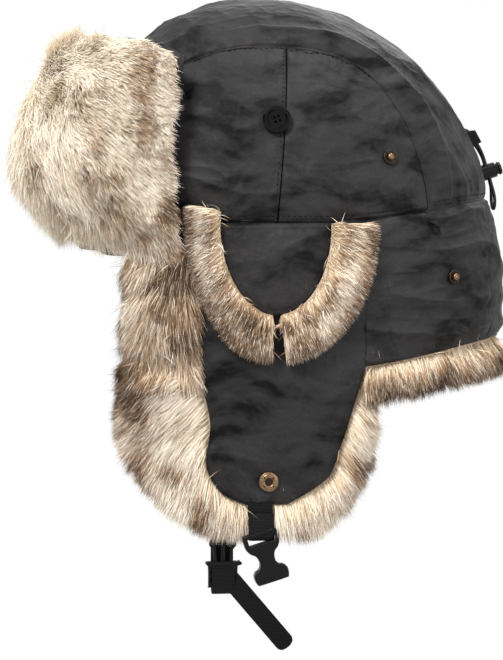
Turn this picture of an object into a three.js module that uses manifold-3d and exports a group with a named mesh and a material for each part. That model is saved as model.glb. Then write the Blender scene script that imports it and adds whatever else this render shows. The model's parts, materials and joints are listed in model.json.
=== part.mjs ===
// A trapper hat: padded nylon crown, fur-lined ear and neck flaps, a turned-up fur visor,
// buttoned ear covers, a side-release chin buckle and an elastic drawcord at the back.
// Millimetres, +Z up. The origin is the centre of the head opening, the front faces -Y
// and the wearer's left is +X.
import * as THREE from "three";
import { mergeVertices } from "three/addons/utils/BufferGeometryUtils.js";
import Module from "manifold-3d";

const wasm = await Module();
wasm.setup();

// Driving dimensions.
const GAP = 0.4;
const CLOTH = 3; // nylon, wadding and backing of an outer panel
const LINING = { inset: 5, thick: 2.6 };
const CROWN = { halfWidth: 101, halfBack: 131, halfFront: 135, seamZ: 80, topZ: 225 };
const CROWN_FORWARD = 27; // how far the top of the crown lies in front of the origin
const SEAM_RISE = 14; // the base seam climbs by this much at the back
const FLARE = { out: 6, topZ: 90, drop: 50 }; // the band widens below the crown
const CORNER = 2 / 2.2; // exponent of the rounded oval that every section follows
const STRIP_EDGE = [
  [52, -160], [52, -110], [60, -70], [63.5, -20], [65, 30], [74, 56], [87, 74], [125, 110], [160, 160],
];
const BAND = { browZ: 60, templeTopZ: 60, foldZ: -14, browHalf: 24, frontAngle: -33.2, rearAngle: 12 };
const EAR_HOLE = { y: -28, z: 44, radius: 19 };
const NECK = { hemFrontZ: -12, hemBackZ: 4, furDrop: 22, furThick: 9 };
const VISOR = { halfWidth: 102, front: 139, bulge: 16, bulgeZ: 45, topZ: 205, angle: 57, furDepth: 38 };
const COVER = { centreY: -28, topZ: 78.5, halfWidth: 36, drop: 57, furFront: 55, furRear: 63, furDrop: 85 };
const FLAP_FRONT = [[-77, -14.5], [-69, -45], [-71, -74], [-61, -91], [-46, -97]];
const FLAP_REAR = [[28, -14.5], [22, -34], [14, -60], [4, -80], [-26, -97]];
const FUR_FRONT = [[-122, -14.5], [-123, -55], [-108, -84], [-80, -108], [-52, -118]];
const FUR_REAR = [[35, -14.5], [35, -50], [27, -84], [8, -110], [-16, -118]];
const BUTTON = { radius: 9, thick: 3.4, y: -26, z: 144 };
const STUD = { radius: 5.8, height: 3.4 };
const STRAP = { width: 16, thick: 1.6, loopGap: 4.8, y: -37, topZ: -98 };
const FUR_STRAP_X = 88; // the strap swings in through a notch in the fur's lower edge
const BUCKLE = { width: 22, thick: 8, bar: 2.2, tilt: 17 };
const CORD = { diameter: 2.2 };

const deg = THREE.MathUtils.degToRad;
const smooth = (t) => THREE.MathUtils.smoothstep(t, 0, 1);
const mix = THREE.MathUtils.lerp;

// One material for each kind of cloth, fur, metal and plastic.
const look = (color, roughness, metalness = 0) =>
  new THREE.MeshStandardMaterial({ color, roughness, metalness });
const NYLON = look(0x2b292b, 0.55);
const QUILT = look(0x1c1b1d, 0.5);
const FUR = look(0xb79a78, 0.95);
const BRASS = look(0x7a5a36, 0.4, 1);
const PLASTIC = look(0x131315, 0.45);
const WEBBING = look(0x161617, 0.85);
const GLOSS = look(0x08080a, 0.12);
const ELASTIC = look(0x121214, 0.9);

const hat = new THREE.Group();

// ---- Meshes from triangles, and joins and cuts ----

function meshVolume(index, position) {
  const [a, b, c] = [0, 0, 0].map(() => new THREE.Vector3());
  let total = 0;
  for (let i = 0; i < index.length; i += 3) {
    a.fromBufferAttribute(position, index[i]);
    b.fromBufferAttribute(position, index[i + 1]);
    c.fromBufferAttribute(position, index[i + 2]);
    total += a.dot(b.cross(c)) / 6;
  }
  return total;
}

// Welds shared corners, drops the triangles that this flattens and turns the faces outward.
function welded(source) {
  const bare = source.index ? source.toNonIndexed() : source.clone();
  const onlyPosition = new THREE.BufferGeometry();
  onlyPosition.setAttribute("position", bare.getAttribute("position"));
  const geometry = mergeVertices(onlyPosition, 1e-3);
  const old = geometry.index.array;
  let index = [];
  for (let i = 0; i < old.length; i += 3) {
    const [a, b, c] = [old[i], old[i + 1], old[i + 2]];
    if (a !== b && b !== c && c !== a) index.push(a, b, c);
  }
  if (meshVolume(index, geometry.attributes.position) < 0) index = index.reverse();
  geometry.setIndex(index);
  geometry.computeVertexNormals();
  return geometry;
}

function fromTriangles(triangles) {
  const numbers = triangles.flatMap((triangle) => triangle.flatMap((p) => p.toArray()));
  const geometry = new THREE.BufferGeometry();
  geometry.setAttribute("position", new THREE.Float32BufferAttribute(numbers, 3));
  return welded(geometry);
}

function solidOf(source) {
  const geometry = welded(source);
  return new wasm.Manifold(
    new wasm.Mesh({
      numProp: 3,
      vertProperties: geometry.attributes.position.array,
      triVerts: new Uint32Array(geometry.index.array),
    }),
  );
}

function geometryOf(solid) {
  const made = solid.getMesh();
  const geometry = new THREE.BufferGeometry();
  const vertices = new Float32Array(made.vertProperties);
  geometry.setAttribute("position", new THREE.BufferAttribute(vertices, made.numProp));
  geometry.setIndex(new THREE.BufferAttribute(new Uint32Array(made.triVerts), 1));
  geometry.computeVertexNormals();
  return geometry;
}

const cut = (base, ...tools) =>
  geometryOf(tools.reduce((solid, tool) => solid.subtract(solidOf(tool)), solidOf(base)));
const join = (base, ...others) =>
  geometryOf(others.reduce((solid, other) => solid.add(solidOf(other)), solidOf(base)));

function piece(name, geometry, material, parent = hat) {
  const mesh = new THREE.Mesh(geometry, material);
  mesh.name = name;
  parent.add(mesh);
  return mesh;
}

// A plate between an outer and an inner surface, each a function of u and v from 0 to 1.
function plate(outer, inner, across, up, ring = false) {
  const triangles = [];
  const quad = (a, b, c, d) => triangles.push([a, b, c], [a, c, d]);
  const grid = (surface) =>
    Array.from({ length: up + 1 }, (_, j) =>
      Array.from({ length: across + 1 }, (_, i) => surface(i / across, j / up)),
    );
  const [front, back] = [grid(outer), grid(inner)];
  for (let j = 0; j < up; j++)
    for (let i = 0; i < across; i++) {
      quad(front[j][i], front[j][i + 1], front[j + 1][i + 1], front[j + 1][i]);
      quad(back[j][i], back[j + 1][i], back[j + 1][i + 1], back[j][i + 1]);
    }
  for (let i = 0; i < across; i++) {
    quad(front[0][i], back[0][i], back[0][i + 1], front[0][i + 1]);
    quad(front[up][i], front[up][i + 1], back[up][i + 1], back[up][i]);
  }
  if (!ring)
    for (let j = 0; j < up; j++) {
      quad(front[j][0], front[j + 1][0], back[j + 1][0], back[j][0]);
      quad(front[j][across], back[j][across], back[j + 1][across], front[j + 1][across]);
    }
  return fromTriangles(triangles);
}

const box = (x, y, z, at = [0, 0, 0]) => new THREE.BoxGeometry(x, y, z).translate(...at);

// The points as vectors, in clockwise or anticlockwise order.
function loop(points, clockwise) {
  const vectors = points.map(([x, y]) => new THREE.Vector2(x, y));
  return THREE.ShapeUtils.isClockWise(vectors) === clockwise ? vectors : vectors.reverse();
}

function extruded(points, depth, holes = []) {
  const shape = new THREE.Shape(loop(points, false));
  shape.holes = holes.map((hole) => new THREE.Path(loop(hole, true)));
  return new THREE.ExtrudeGeometry(shape, { depth, bevelEnabled: false });
}

function turned(profile, segments = 24) {
  const points = profile.map(([radius, height]) => new THREE.Vector2(radius, height));
  return new THREE.LatheGeometry(points, segments);
}

function tube(points, diameter, sides, steps) {
  const path = new THREE.CatmullRomCurve3(points.map((p) => new THREE.Vector3(...p)));
  const section = new THREE.Shape();
  section.absarc(0, 0, diameter / 2, 0, 2 * Math.PI);
  return new THREE.ExtrudeGeometry(section, {
    extrudePath: path,
    steps,
    curveSegments: sides,
    bevelEnabled: false,
  });
}

// ---- The hat's own surface ----

// Half-widths of the oval section at height z, inset from the outer face.
function section(z, inset) {
  const span = CROWN.topZ - inset - CROWN.seamZ;
  const t = THREE.MathUtils.clamp((z - CROWN.seamZ) / span, 0, 1);
  const flare = FLARE.out * smooth((FLARE.topZ - z) / FLARE.drop);
  return {
    side: (CROWN.halfWidth + 0.6 * flare - inset) * Math.sqrt(1 - t * t),
    back: (CROWN.halfBack + flare - inset) * Math.sqrt(1 - t ** 2.4),
    front: (CROWN.halfFront - inset) * Math.sqrt(1 - t * t),
    centreY: -CROWN_FORWARD * t,
  };
}

// The point at an angle round the oval: 0 is the left side, 90 degrees the back.
function ovalPoint(angle, z, inset) {
  const at = section(z, inset);
  const [c, s] = [Math.cos(angle), Math.sin(angle)];
  const x = at.side * Math.sign(c) * Math.abs(c) ** CORNER;
  const length = s > 0 ? at.back : at.front;
  const y = at.centreY + length * Math.sign(s) * Math.abs(s) ** CORNER;
  return new THREE.Vector3(x, y, z);
}

// How far out the hat's side is at a given y, z and inset.
function sideX(y, z, inset) {
  const at = section(z, inset);
  const length = y > at.centreY ? at.back : at.front;
  const share = Math.min(Math.abs(y - at.centreY) / length, 1);
  return at.side * (1 - share ** 2.2) ** (1 / 2.2);
}

const seamHeight = (angle) => CROWN.seamZ + SEAM_RISE * smooth(Math.sin(angle));
const templeEdgeY = -77;
const templeSlope = 0.45;

// The side surface carried straight on in front of the temple, where the fur stands forward.
function furSideX(y, z, inset) {
  if (y > templeEdgeY) return sideX(y, z, inset);
  return sideX(templeEdgeY, z, inset) - templeSlope * (templeEdgeY - y);
}

function outwardAt(y, z) {
  const step = 1;
  const at = (dy, dz) => new THREE.Vector3(sideX(y + dy, z + dz, 0), y + dy, z + dz);
  const alongY = at(step, 0).sub(at(-step, 0));
  const alongZ = at(0, step).sub(at(0, -step));
  return alongY.cross(alongZ).normalize();
}

// ---- Crown ----

function dome(inset, baseDrop) {
  const [across, up] = [44, 9];
  const rows = Array.from({ length: up + 1 }, (_, j) =>
    Array.from({ length: across }, (_, i) => {
      const angle = (i / across) * 2 * Math.PI;
      const low = seamHeight(angle) + GAP / 2 - baseDrop;
      const z = mix(low, CROWN.topZ - inset, Math.sin(((j / up) * Math.PI) / 2));
      return ovalPoint(angle, z, inset);
    }),
  );
  const triangles = [];
  const foot = new THREE.Vector3(0, 0, CROWN.seamZ - baseDrop);
  for (let i = 0; i < across; i++) {
    const next = (i + 1) % across;
    triangles.push([foot, rows[0][next], rows[0][i]]);
    for (let j = 0; j < up; j++) {
      triangles.push([rows[j][i], rows[j][next], rows[j + 1][next]]);
      triangles.push([rows[j][i], rows[j + 1][next], rows[j + 1][i]]);
    }
  }
  return fromTriangles(triangles);
}

// The upright prism that holds the centre strip, its edges moved outward by grow.
function stripPrism(grow) {
  const curve = new THREE.SplineCurve(STRIP_EDGE.map(([x, y]) => new THREE.Vector2(x + grow, y)));
  const right = curve.getPoints(28).map((p) => [p.x, p.y]);
  const left = right.map(([x, y]) => [-x, y]).reverse();
  return extruded([...right, ...left], 200).translate(0, 0, 50);
}

function crown() {
  const shell = solidOf(dome(0, 0)).subtract(solidOf(dome(CLOTH, 30)));
  const strip = shell.intersect(solidOf(stripPrism(-GAP / 2)));
  piece("crown_center_strip", geometryOf(strip), NYLON);
  const sides = shell.subtract(solidOf(stripPrism(GAP / 2)));
  for (const [name, side] of [["left", 1], ["right", -1]]) {
    const half = sides.intersect(solidOf(box(200, 400, 400, [side * 100, 0, 100])));
    piece(`crown_side_panel_${name}`, geometryOf(half), NYLON);
  }
  const liningOuter = solidOf(dome(LINING.inset, 14));
  const lining = liningOuter.subtract(solidOf(dome(LINING.inset + LINING.thick, 50)));
  piece("crown_lining", geometryOf(lining), QUILT);
}

// ---- Band round the head ----

// A curved wall of the band between two angles in degrees.
function wall(from, to, low, high, insets, across, up, ring = false) {
  const face = (inset) => (u, v) => {
    const angle = deg(mix(from, to, u));
    return ovalPoint(angle, mix(low(angle), high(angle), v), inset);
  };
  return plate(face(insets[0]), face(insets[1]), across, up, ring);
}

const seamUnder = (angle) => seamHeight(angle) - GAP / 2;
const earHole = (grow) =>
  new THREE.CylinderGeometry(EAR_HOLE.radius + grow, EAR_HOLE.radius + grow, 260, 24)
    .rotateZ(Math.PI / 2)
    .translate(0, EAR_HOLE.y, EAR_HOLE.z);

// The height of an edge that is one thing over the brow and another past the temples.
function edgeHeight(brow, past) {
  return (angle) => {
    const round = THREE.MathUtils.euclideanModulo(THREE.MathUtils.radToDeg(angle) + 270, 360) - 180;
    return mix(brow, past, smooth((Math.abs(round) - BAND.browHalf) / 8));
  };
}

function band() {
  const sweatInsets = [2 * CLOTH + GAP, 3 * CLOTH];
  const sweat = wall(0, 360, edgeHeight(BAND.browZ - 2, 4), () => 64, sweatInsets, 48, 2, true);
  piece("sweatband", cut(sweat, earHole(1)), QUILT);
  const start = BAND.frontAngle - 0.3;
  const lowerEdge = edgeHeight(BAND.browZ, BAND.templeTopZ + 3);
  const forehead = wall(-180 - start, start, lowerEdge, seamUnder, [0, CLOTH], 26, 2);
  piece("forehead_band", forehead, NYLON);
  const low = () => BAND.foldZ + GAP;
  const side = wall(BAND.frontAngle, BAND.rearAngle, low, seamUnder, [0, CLOTH], 10, 5);
  const holed = cut(side, earHole(0));
  piece("side_band_left", holed, NYLON);
  piece("side_band_right", holed, NYLON).scale.x = -1;
  const rear = BAND.rearAngle + 0.4;
  const neck = wall(rear, 180 - rear, neckHem, seamUnder, [0, CLOTH], 26, 5);
  piece("neck_flap", neck, NYLON);
  const furInsets = [CLOTH + GAP, CLOTH + NECK.furThick];
  const furLow = (angle) => neckHem(angle) - NECK.furDrop;
  const fur = wall(rear + 4, 176 - rear, furLow, () => 3, furInsets, 26, 3);
  piece("neck_flap_fur", fur, FUR);
}

function neckHem(angle) {
  return mix(NECK.hemFrontZ, NECK.hemBackZ, smooth(Math.sin(angle)));
}

// The fur edge between the visor and the ear flap.
function templeFur() {
  const face = (out) => (u, v) => {
    const y = mix(-122, -79.5, u);
    const z = mix(BAND.foldZ + GAP, BAND.templeTopZ, v);
    return new THREE.Vector3(furSideX(y, z, 0) + out, y, z);
  };
  const fur = plate(face(2), face(-5), 5, 4);
  piece("temple_fur_left", fur, FUR);
  piece("temple_fur_right", fur, FUR).scale.x = -1;
}

// ---- Visor, turned up ----

function visorPoint(angle, z, out) {
  const bulge = VISOR.bulge * Math.sin((Math.PI * (z - VISOR.bulgeZ)) / (VISOR.topZ - VISOR.bulgeZ));
  const [c, s] = [Math.cos(angle), Math.sin(angle)];
  const x = (VISOR.halfWidth + out) * Math.sign(c) * Math.abs(c) ** CORNER;
  const y = -(VISOR.front + bulge + out) * Math.abs(s) ** CORNER;
  return new THREE.Vector3(x, y, z);
}

function visor() {
  const low = edgeHeight(BAND.browZ + 1, BAND.templeTopZ + 3);
  const shellFace = (out) => (u, v) => {
    const angle = deg(-90 + mix(-VISOR.angle, VISOR.angle, u));
    return visorPoint(angle, mix(low(angle), VISOR.topZ, v), out);
  };
  piece("visor_shell", plate(shellFace(CLOTH), shellFace(0), 20, 8), NYLON);
  const furFace = (thick) => (u, v) => {
    const angle = deg(-90 + mix(-VISOR.angle, VISOR.angle, u));
    const z = mix(66, VISOR.topZ + 4, v);
    const upright = Math.sqrt(1 - (0.97 * (2 * v - 1)) ** 2);
    const toEnds = 1 - 0.55 * Math.abs(2 * u - 1) ** 3;
    return visorPoint(angle, Math.min(z, VISOR.topZ + 4), CLOTH + GAP + thick * upright * toEnds);
  };
  piece("visor_fur", plate(furFace(VISOR.furDepth), furFace(0), 20, 8), FUR);
}

// ---- Ear covers ----

function coverSurface(y, z, out) {
  return new THREE.Vector3(furSideX(y, z, 0) + out, y, z);
}

function coverShell() {
  const face = (out) => (u, v) => {
    const half = Math.max(COVER.halfWidth * Math.sqrt(1 - v * v), 9);
    const y = COVER.centreY + mix(-half, half, u);
    return coverSurface(y, COVER.topZ - v * COVER.drop, out);
  };
  return plate(face(4.2), face(0.7), 10, 10);
}

// One of the two fur strips round the cover's edge, from the top to the gap at the tip.
function coverFur(from, to, reach) {
  const face = (out) => (u, v) => {
    const angle = deg(mix(from, to, u));
    const across = mix(COVER.halfWidth + 1.8, reach, v);
    const down = mix(COVER.drop + 1.8, COVER.furDrop, v);
    const y = COVER.centreY - across * Math.cos(angle);
    return coverSurface(y, COVER.topZ - down * Math.sin(angle), out);
  };
  return plate(face(10), face(3.2), 12, 2);
}

function coverLoop() {
  const [y, z] = [COVER.centreY - 1, COVER.topZ - COVER.drop];
  const x = sideX(y, z, 0) + 1.6;
  const arc = Array.from({ length: 9 }, (_, i) => {
    const turn = (i / 8) * Math.PI;
    return [x, y + 3.4 * Math.cos(turn), z - 2.5 - 9 * Math.sin(turn)];
  });
  return tube(arc, 1.6, 4, 16);
}

function earCover(name, group) {
  piece(`ear_cover_shell_${name}`, coverShell(), NYLON, group);
  piece(`ear_cover_fur_front_${name}`, coverFur(7, 85, COVER.furFront), FUR, group);
  piece(`ear_cover_fur_rear_${name}`, coverFur(173, 95, COVER.furRear), FUR, group);
  piece(`ear_cover_loop_${name}`, coverLoop(), ELASTIC, group);
}

// ---- Ear flaps ----

// The flap's outer face: the hat's side at the fold, a flatter and slightly closer one below.
function flapX(y, z, inset) {
  const flat = 96 - 0.0028 * (y + 30) ** 2 - inset;
  return mix(furSideX(y, BAND.foldZ, inset), flat, smooth((BAND.foldZ - z) / 80));
}

function flapPlate(frontEdge, rearEdge, insets, across, up) {
  const edge = (points) => new THREE.SplineCurve(points.map(([y, z]) => new THREE.Vector2(y, z)));
  const [front, rear] = [edge(frontEdge), edge(rearEdge)];
  const face = (inset) => (u, v) => {
    const at = front.getPoint(v).lerp(rear.getPoint(v), u);
    return new THREE.Vector3(flapX(at.x, at.y, inset), at.x, at.y);
  };
  return plate(face(insets[0]), face(insets[1]), across, up);
}

// Gives a turned piece its place on the hat: its own +Y turns to point along the outward axis.
function placed(mesh, point, outward) {
  mesh.position.copy(point);
  mesh.quaternion.setFromUnitVectors(new THREE.Vector3(0, 1, 0), outward);
  return mesh;
}

function snapSocket() {
  const outside = [[2.4, 0], [6.5, 0], [6.5, 0.8], [5.2, 1.9], [3.2, 1.9], [2.4, 1.2], [2.4, 0]];
  return turned(outside);
}

function earFlap(name, group) {
  const shell = flapPlate(FLAP_FRONT, FLAP_REAR, [0, CLOTH + 0.5], 10, 10);
  piece(`ear_flap_shell_${name}`, shell, NYLON, group);
  const fur = flapPlate(FUR_FRONT, FUR_REAR, [CLOTH + 1, CLOTH + 11], 12, 9);
  const strapWay = box(40, BUCKLE.width + 12, 40, [FUR_STRAP_X, STRAP.y, STRAP.topZ - 18.5]);
  piece(`ear_flap_fur_${name}`, cut(fur, strapWay), FUR, group);
  const at = new THREE.Vector3(flapX(-32, -83, 0) + 0.9, -32, -83);
  placed(piece(`snap_socket_${name}`, snapSocket(), BRASS, group), at, new THREE.Vector3(1, 0, 0));
}

// ---- Buttons and snap studs ----

function button() {
  const { radius, thick } = BUTTON;
  const rim = [[0, 0], [radius * 0.7, 0], [radius, 1], [radius, thick - 1], [radius - 1, thick]];
  const dish = [[radius - 2.6, thick], [radius - 3.4, thick - 1], [0, thick - 1]];
  const disc = turned([...rim, ...dish], 28);
  const holes = [0, 1, 2, 3].map((i) => {
    const turn = (i + 0.5) * (Math.PI / 2);
    const hole = new THREE.CylinderGeometry(0.9, 0.9, 10, 10);
    return hole.translate(2 * Math.cos(turn), 0, 2 * Math.sin(turn));
  });
  return cut(disc, ...holes);
}

function snapStud() {
  const { radius, height } = STUD;
  const base = [[0, 0], [radius, 0], [radius, 0.7], [radius - 0.8, 1.2], [2.5, 1.2]];
  const post = [[2.1, 1.8], [2.5, height - 0.5], [2, height], [0, height]];
  return turned([...base, ...post]);
}

function fittings() {
  for (const [name, side] of [["left", 1], ["right", -1]]) {
    const fit = (label, y, z, shape, material, off) => {
      const outward = outwardAt(y, z);
      const at = new THREE.Vector3(sideX(y, z, 0), y, z).addScaledVector(outward, off);
      const group = new THREE.Group();
      group.scale.x = side;
      hat.add(group);
      placed(piece(`${label}_${name}`, shape, material, group), at, outward);
    };
    fit("button", BUTTON.y, BUTTON.z, button(), GLOSS, 1.2);
    fit("crown_snap_stud", 46, 121, snapStud(), BRASS, 0.5);
    fit("neck_snap_stud", 89, 45, snapStud(), BRASS, 0.5);
  }
  const back = new THREE.Vector3(0, ovalPoint(Math.PI / 2, 44, -0.5).y, 44);
  placed(piece("back_snap_stud", snapStud(), BRASS), back, new THREE.Vector3(0, 1, 0));
}

// ---- Straps and the side-release buckle ----

// Everything below a strap's exit is drawn with its own +Z up and its face towards +X.
function strapGroup(side) {
  const group = new THREE.Group();
  group.position.set(side * (flapX(STRAP.y, STRAP.topZ, 0) - 1), STRAP.y, STRAP.topZ);
  hat.add(group);
  return group;
}

function strapAround(length) {
  const { thick, width, loopGap } = STRAP;
  const leg = box(thick, width, length, [0, 0, -length / 2]);
  const end = box(thick, width, 14, [loopGap, 0, -length + 7]);
  const foot = box(loopGap + thick, width, thick, [loopGap / 2, 0, -length]);
  const head = box(loopGap + thick, width, thick, [loopGap / 2, 0, -length + 14]);
  return join(leg, end, foot, head);
}

function buckleSocket() {
  const half = BUCKLE.width / 2;
  const frame = [[half, 5.6], [half, -5.6], [5.5, -9]];
  const right = [...frame, [5, -15], [half - 1, -19], [half, -22], [half - 0.5, -27]];
  const outline = [...right, ...right.map(([y, z]) => [-y, z]).reverse()];
  const slot = [[-9, 3.5], [9, 3.5], [9, -3.5], [-9, -3.5]];
  const body = extruded(outline, BUCKLE.thick, [slot]).translate(0, 0, -BUCKLE.thick / 2);
  const mouth = box(17, 13, 4.4, [0, -21.5, 0]);
  const bore = box(6, 22, 4.4, [0, -18, 0]);
  const overBar = [-1, 1].map((side) => box(30, 10, 8, [0, 1.4, side * (BUCKLE.bar / 2 + 4)]));
  return cut(body, mouth, bore, ...overBar).rotateX(Math.PI / 2).rotateZ(Math.PI / 2);
}

function bucklePlug() {
  const base = extruded(
    [[-10, 0], [10, 0], [10, -17], [-10, -17]],
    4,
    [
      [[-8.6, -4], [8.6, -4], [8.6, -7], [-8.6, -7]],
      [[-8.6, -10.5], [8.6, -10.5], [8.6, -13.8], [-8.6, -13.8]],
    ],
  );
  const prong = extruded([[-1.8, -1], [1.8, -1], [1.8, 20], [0.8, 22], [-0.8, 22], [-1.8, 20]], 2.6);
  const made = join(base.translate(0, 0, -2), prong.translate(0, 0, -1.3));
  return made.rotateX(Math.PI / 2).rotateZ(Math.PI / 2);
}

function buckleArm() {
  const outline = [[4.2, 0.4], [6.4, 0.4], [6.9, 9], [9.6, 12], [8.2, 17], [6, 19], [5, 17], [5.2, 9]];
  const arm = extruded(outline, 3.2).translate(0, 0, -1.6);
  return arm.rotateX(Math.PI / 2).rotateZ(Math.PI / 2);
}

function chinStraps() {
  const left = strapGroup(1);
  piece("strap_left", strapAround(22), WEBBING, left);
  const socket = new THREE.Group();
  socket.position.set(STRAP.loopGap / 2, 0, -22);
  socket.rotation.x = deg(BUCKLE.tilt);
  left.add(socket);
  piece("buckle_socket", buckleSocket(), PLASTIC, socket);
  const right = strapGroup(-1);
  const long = 84;
  const { width, thick } = STRAP;
  const web = box(thick, width, long, [0, 0, -long / 2]);
  const tail = box(thick, width, 58, [0, 0, -29]).rotateX(deg(40)).translate(8.4, 5, -long + 1);
  const loop = box(8.4 + thick, width - 2, thick, [4.2, 1, -long + thick / 2]);
  piece("strap_right", join(web, loop, tail), WEBBING, right);
  const plug = new THREE.Group();
  plug.position.set(4.4, 0, -long + 20);
  right.add(plug);
  piece("buckle_plug", bucklePlug(), PLASTIC, plug);
  piece("buckle_arm_front", buckleArm(), PLASTIC, plug).scale.y = -1;
  piece("buckle_arm_rear", buckleArm(), PLASTIC, plug);
}

// ---- Drawcord at the back of the crown ----

const CORD_ROUTE = [
  [-5.5, 112.8, 140], [-5.7, 115.8, 138.8], [-5.4, 118.6, 135.8], [-4.5, 121.6, 131.6], [-3, 124.9, 126.6],
  [-1.8, 127.3, 121.7], [-1.6, 128.9, 116.8], [-1.6, 130.4, 112], [-1.6, 131.9, 107.2], [-1.8, 133.2, 102.6],
  [-3.4, 134, 98.6], [-4.9, 134.4, 94.7], [-4.8, 134.6, 91.2], [-2.9, 134.7, 88.2], [0, 134.8, 87.2],
  [2.9, 134.7, 88.2], [4.8, 134.6, 91.2], [4.9, 134.4, 94.7], [3.4, 134, 98.6], [1.8, 133.2, 102.6],
  [1.6, 131.9, 107.2], [1.6, 130.4, 112], [1.6, 128.9, 116.8], [1.8, 127.3, 121.7], [3, 124.9, 126.6],
  [4.5, 121.6, 131.6], [5.4, 118.6, 135.8], [5.7, 115.8, 138.8], [5.5, 112.8, 140],
];
const CORD_LOCK = { y: 130.4, z: 112, lean: 17 };
const TAB = { y: 116.4, z: 132.5, lean: 29, height: 9 };

// The cord passes through the barrel and the plunger's stem; pressing the plunger frees it.
function cordLock(group) {
  const outside = [[0, -6], [4.8, -6], [5.5, -4.8], [5.1, 5.5], [4.1, 5.5], [4.1, -4.6], [0, -4.6]];
  const barrel = cut(turned(outside), box(6.4, 3.4, 20));
  piece("cord_lock_barrel", barrel, PLASTIC, group);
  const stem = turned([[0, -2.8], [3.8, -2.8], [3.8, 7.4], [4.6, 7.8], [4.2, 9.4], [0, 9.9]]);
  const plunger = cut(stem, box(5.8, 4.4, 20, [0, 0.8, 0]));
  piece("cord_lock_plunger", plunger, PLASTIC, group);
}

function drawcord() {
  piece("drawcord", tube(CORD_ROUTE, CORD.diameter, 4, 60), ELASTIC);
  const group = new THREE.Group();
  group.position.set(0, CORD_LOCK.y, CORD_LOCK.z);
  group.rotation.x = deg(CORD_LOCK.lean);
  hat.add(group);
  cordLock(group);
  const outer = [[-9, 0], [-9, 6.6], [9, 6.6], [9, 0], [7.9, 0], [7.9, 5.5], [-7.9, 5.5], [-7.9, 0]];
  const tab = extruded(outer, TAB.height).translate(0, 0, -TAB.height / 2);
  const ribbon = piece("ribbon_tab", tab, WEBBING);
  ribbon.position.set(0, TAB.y, TAB.z);
  ribbon.rotation.x = deg(TAB.lean);
}

crown();
band();
templeFur();
visor();
for (const [name, side] of [["left", 1], ["right", -1]]) {
  const group = new THREE.Group();
  group.scale.x = side;
  hat.add(group);
  earCover(name, group);
  earFlap(name, group);
}
fittings();
chinStraps();
drawcord();

export default hat;
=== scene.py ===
"""Looks of the trapper hat: crinkled nylon panels, long faux fur made of single strands, and its trim.

The shapes follow the hat's own surface, in millimetres, and every mesh is written in metres.
"""
import json
import math

import bpy
import numpy as np
from mathutils import Matrix, Vector


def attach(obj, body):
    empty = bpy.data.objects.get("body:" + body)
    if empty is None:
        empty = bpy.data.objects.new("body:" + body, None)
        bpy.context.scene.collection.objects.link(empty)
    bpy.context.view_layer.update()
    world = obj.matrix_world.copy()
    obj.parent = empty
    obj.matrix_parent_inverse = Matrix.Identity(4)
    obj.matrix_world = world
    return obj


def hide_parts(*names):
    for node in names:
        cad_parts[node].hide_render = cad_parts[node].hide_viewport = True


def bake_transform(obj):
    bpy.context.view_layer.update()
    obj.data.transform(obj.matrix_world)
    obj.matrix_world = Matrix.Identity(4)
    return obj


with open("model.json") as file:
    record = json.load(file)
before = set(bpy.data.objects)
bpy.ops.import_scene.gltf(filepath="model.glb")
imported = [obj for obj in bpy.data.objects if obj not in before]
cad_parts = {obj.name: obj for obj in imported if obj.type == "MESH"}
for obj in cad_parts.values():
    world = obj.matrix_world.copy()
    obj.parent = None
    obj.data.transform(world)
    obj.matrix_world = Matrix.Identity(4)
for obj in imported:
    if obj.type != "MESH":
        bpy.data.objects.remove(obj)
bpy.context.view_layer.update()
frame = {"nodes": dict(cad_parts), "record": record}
MM = 0.001

# ---- The hat's own surface, the same as in the CAD model, in millimetres ----

CLOTH = 3.0
CROWN = dict(half_width=101, half_back=131, half_front=135, seam_z=80, top_z=225, forward=27, rise=14)
FLARE = dict(out=6, top_z=90, drop=50)
POWER = 2.2
CORNER = 2 / POWER
STRIP_EDGE = [
    (52, -160), (52, -110), (60, -70), (63.5, -20), (65, 30), (74, 56), (87, 74), (125, 110), (160, 160),
]
FOLD_Z = -14
BAND_FRONT, BAND_REAR = -77.5, 28.5
BROW_Z, BROW_HALF, TEMPLE_TOP = 60, 24, 60
VISOR = dict(half_width=102, front=139, bulge=16, bulge_z=45, top_z=205, angle=57)
COVER = dict(y=-28, top_z=78.5, half=36, drop=57, fur_front=55, fur_rear=63, fur_drop=85)
FLAP_FRONT = [(-77, -14.5), (-69, -45), (-71, -74), (-61, -91), (-46, -98)]
FLAP_REAR = [(28, -14.5), (23, -34), (16, -60), (7, -82), (-19, -98)]
FUR_FRONT = [(-122, -14.5), (-123, -55), (-108, -84), (-80, -108), (-52, -118)]
FUR_REAR = [(35, -14.5), (35, -50), (27, -84), (8, -110), (-16, -118)]
HEM_FRONT, HEM_BACK = -12, 4
TEMPLE_Y, TEMPLE_SLOPE = -77.0, 0.45
STRAP = dict(y=-37.0, top=-98.0, width=16.0, thick=1.5)
BUTTON_PLACE = (-26, 144)


def smooth(t):
    t = np.clip(t, 0, 1)
    return t * t * (3 - 2 * t)


def mix(a, b, t):
    return a + (b - a) * t


def points(x, y, z):
    x, y, z = np.broadcast_arrays(x, y, z)
    return np.stack([x, y, z], -1).astype(float)


def unit(v):
    return v / np.maximum(np.linalg.norm(v, axis=-1, keepdims=True), 1e-9)


def section(z, inset=0.0):
    span = CROWN["top_z"] - inset - CROWN["seam_z"]
    t = np.clip((z - CROWN["seam_z"]) / span, 0, 1)
    flare = FLARE["out"] * smooth((FLARE["top_z"] - z) / FLARE["drop"])
    side = (CROWN["half_width"] + 0.6 * flare - inset) * np.sqrt(1 - t * t)
    back = (CROWN["half_back"] + flare - inset) * np.sqrt(1 - t**2.4)
    front = (CROWN["half_front"] - inset) * np.sqrt(1 - t * t)
    return side, back, front, -CROWN["forward"] * t


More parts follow.
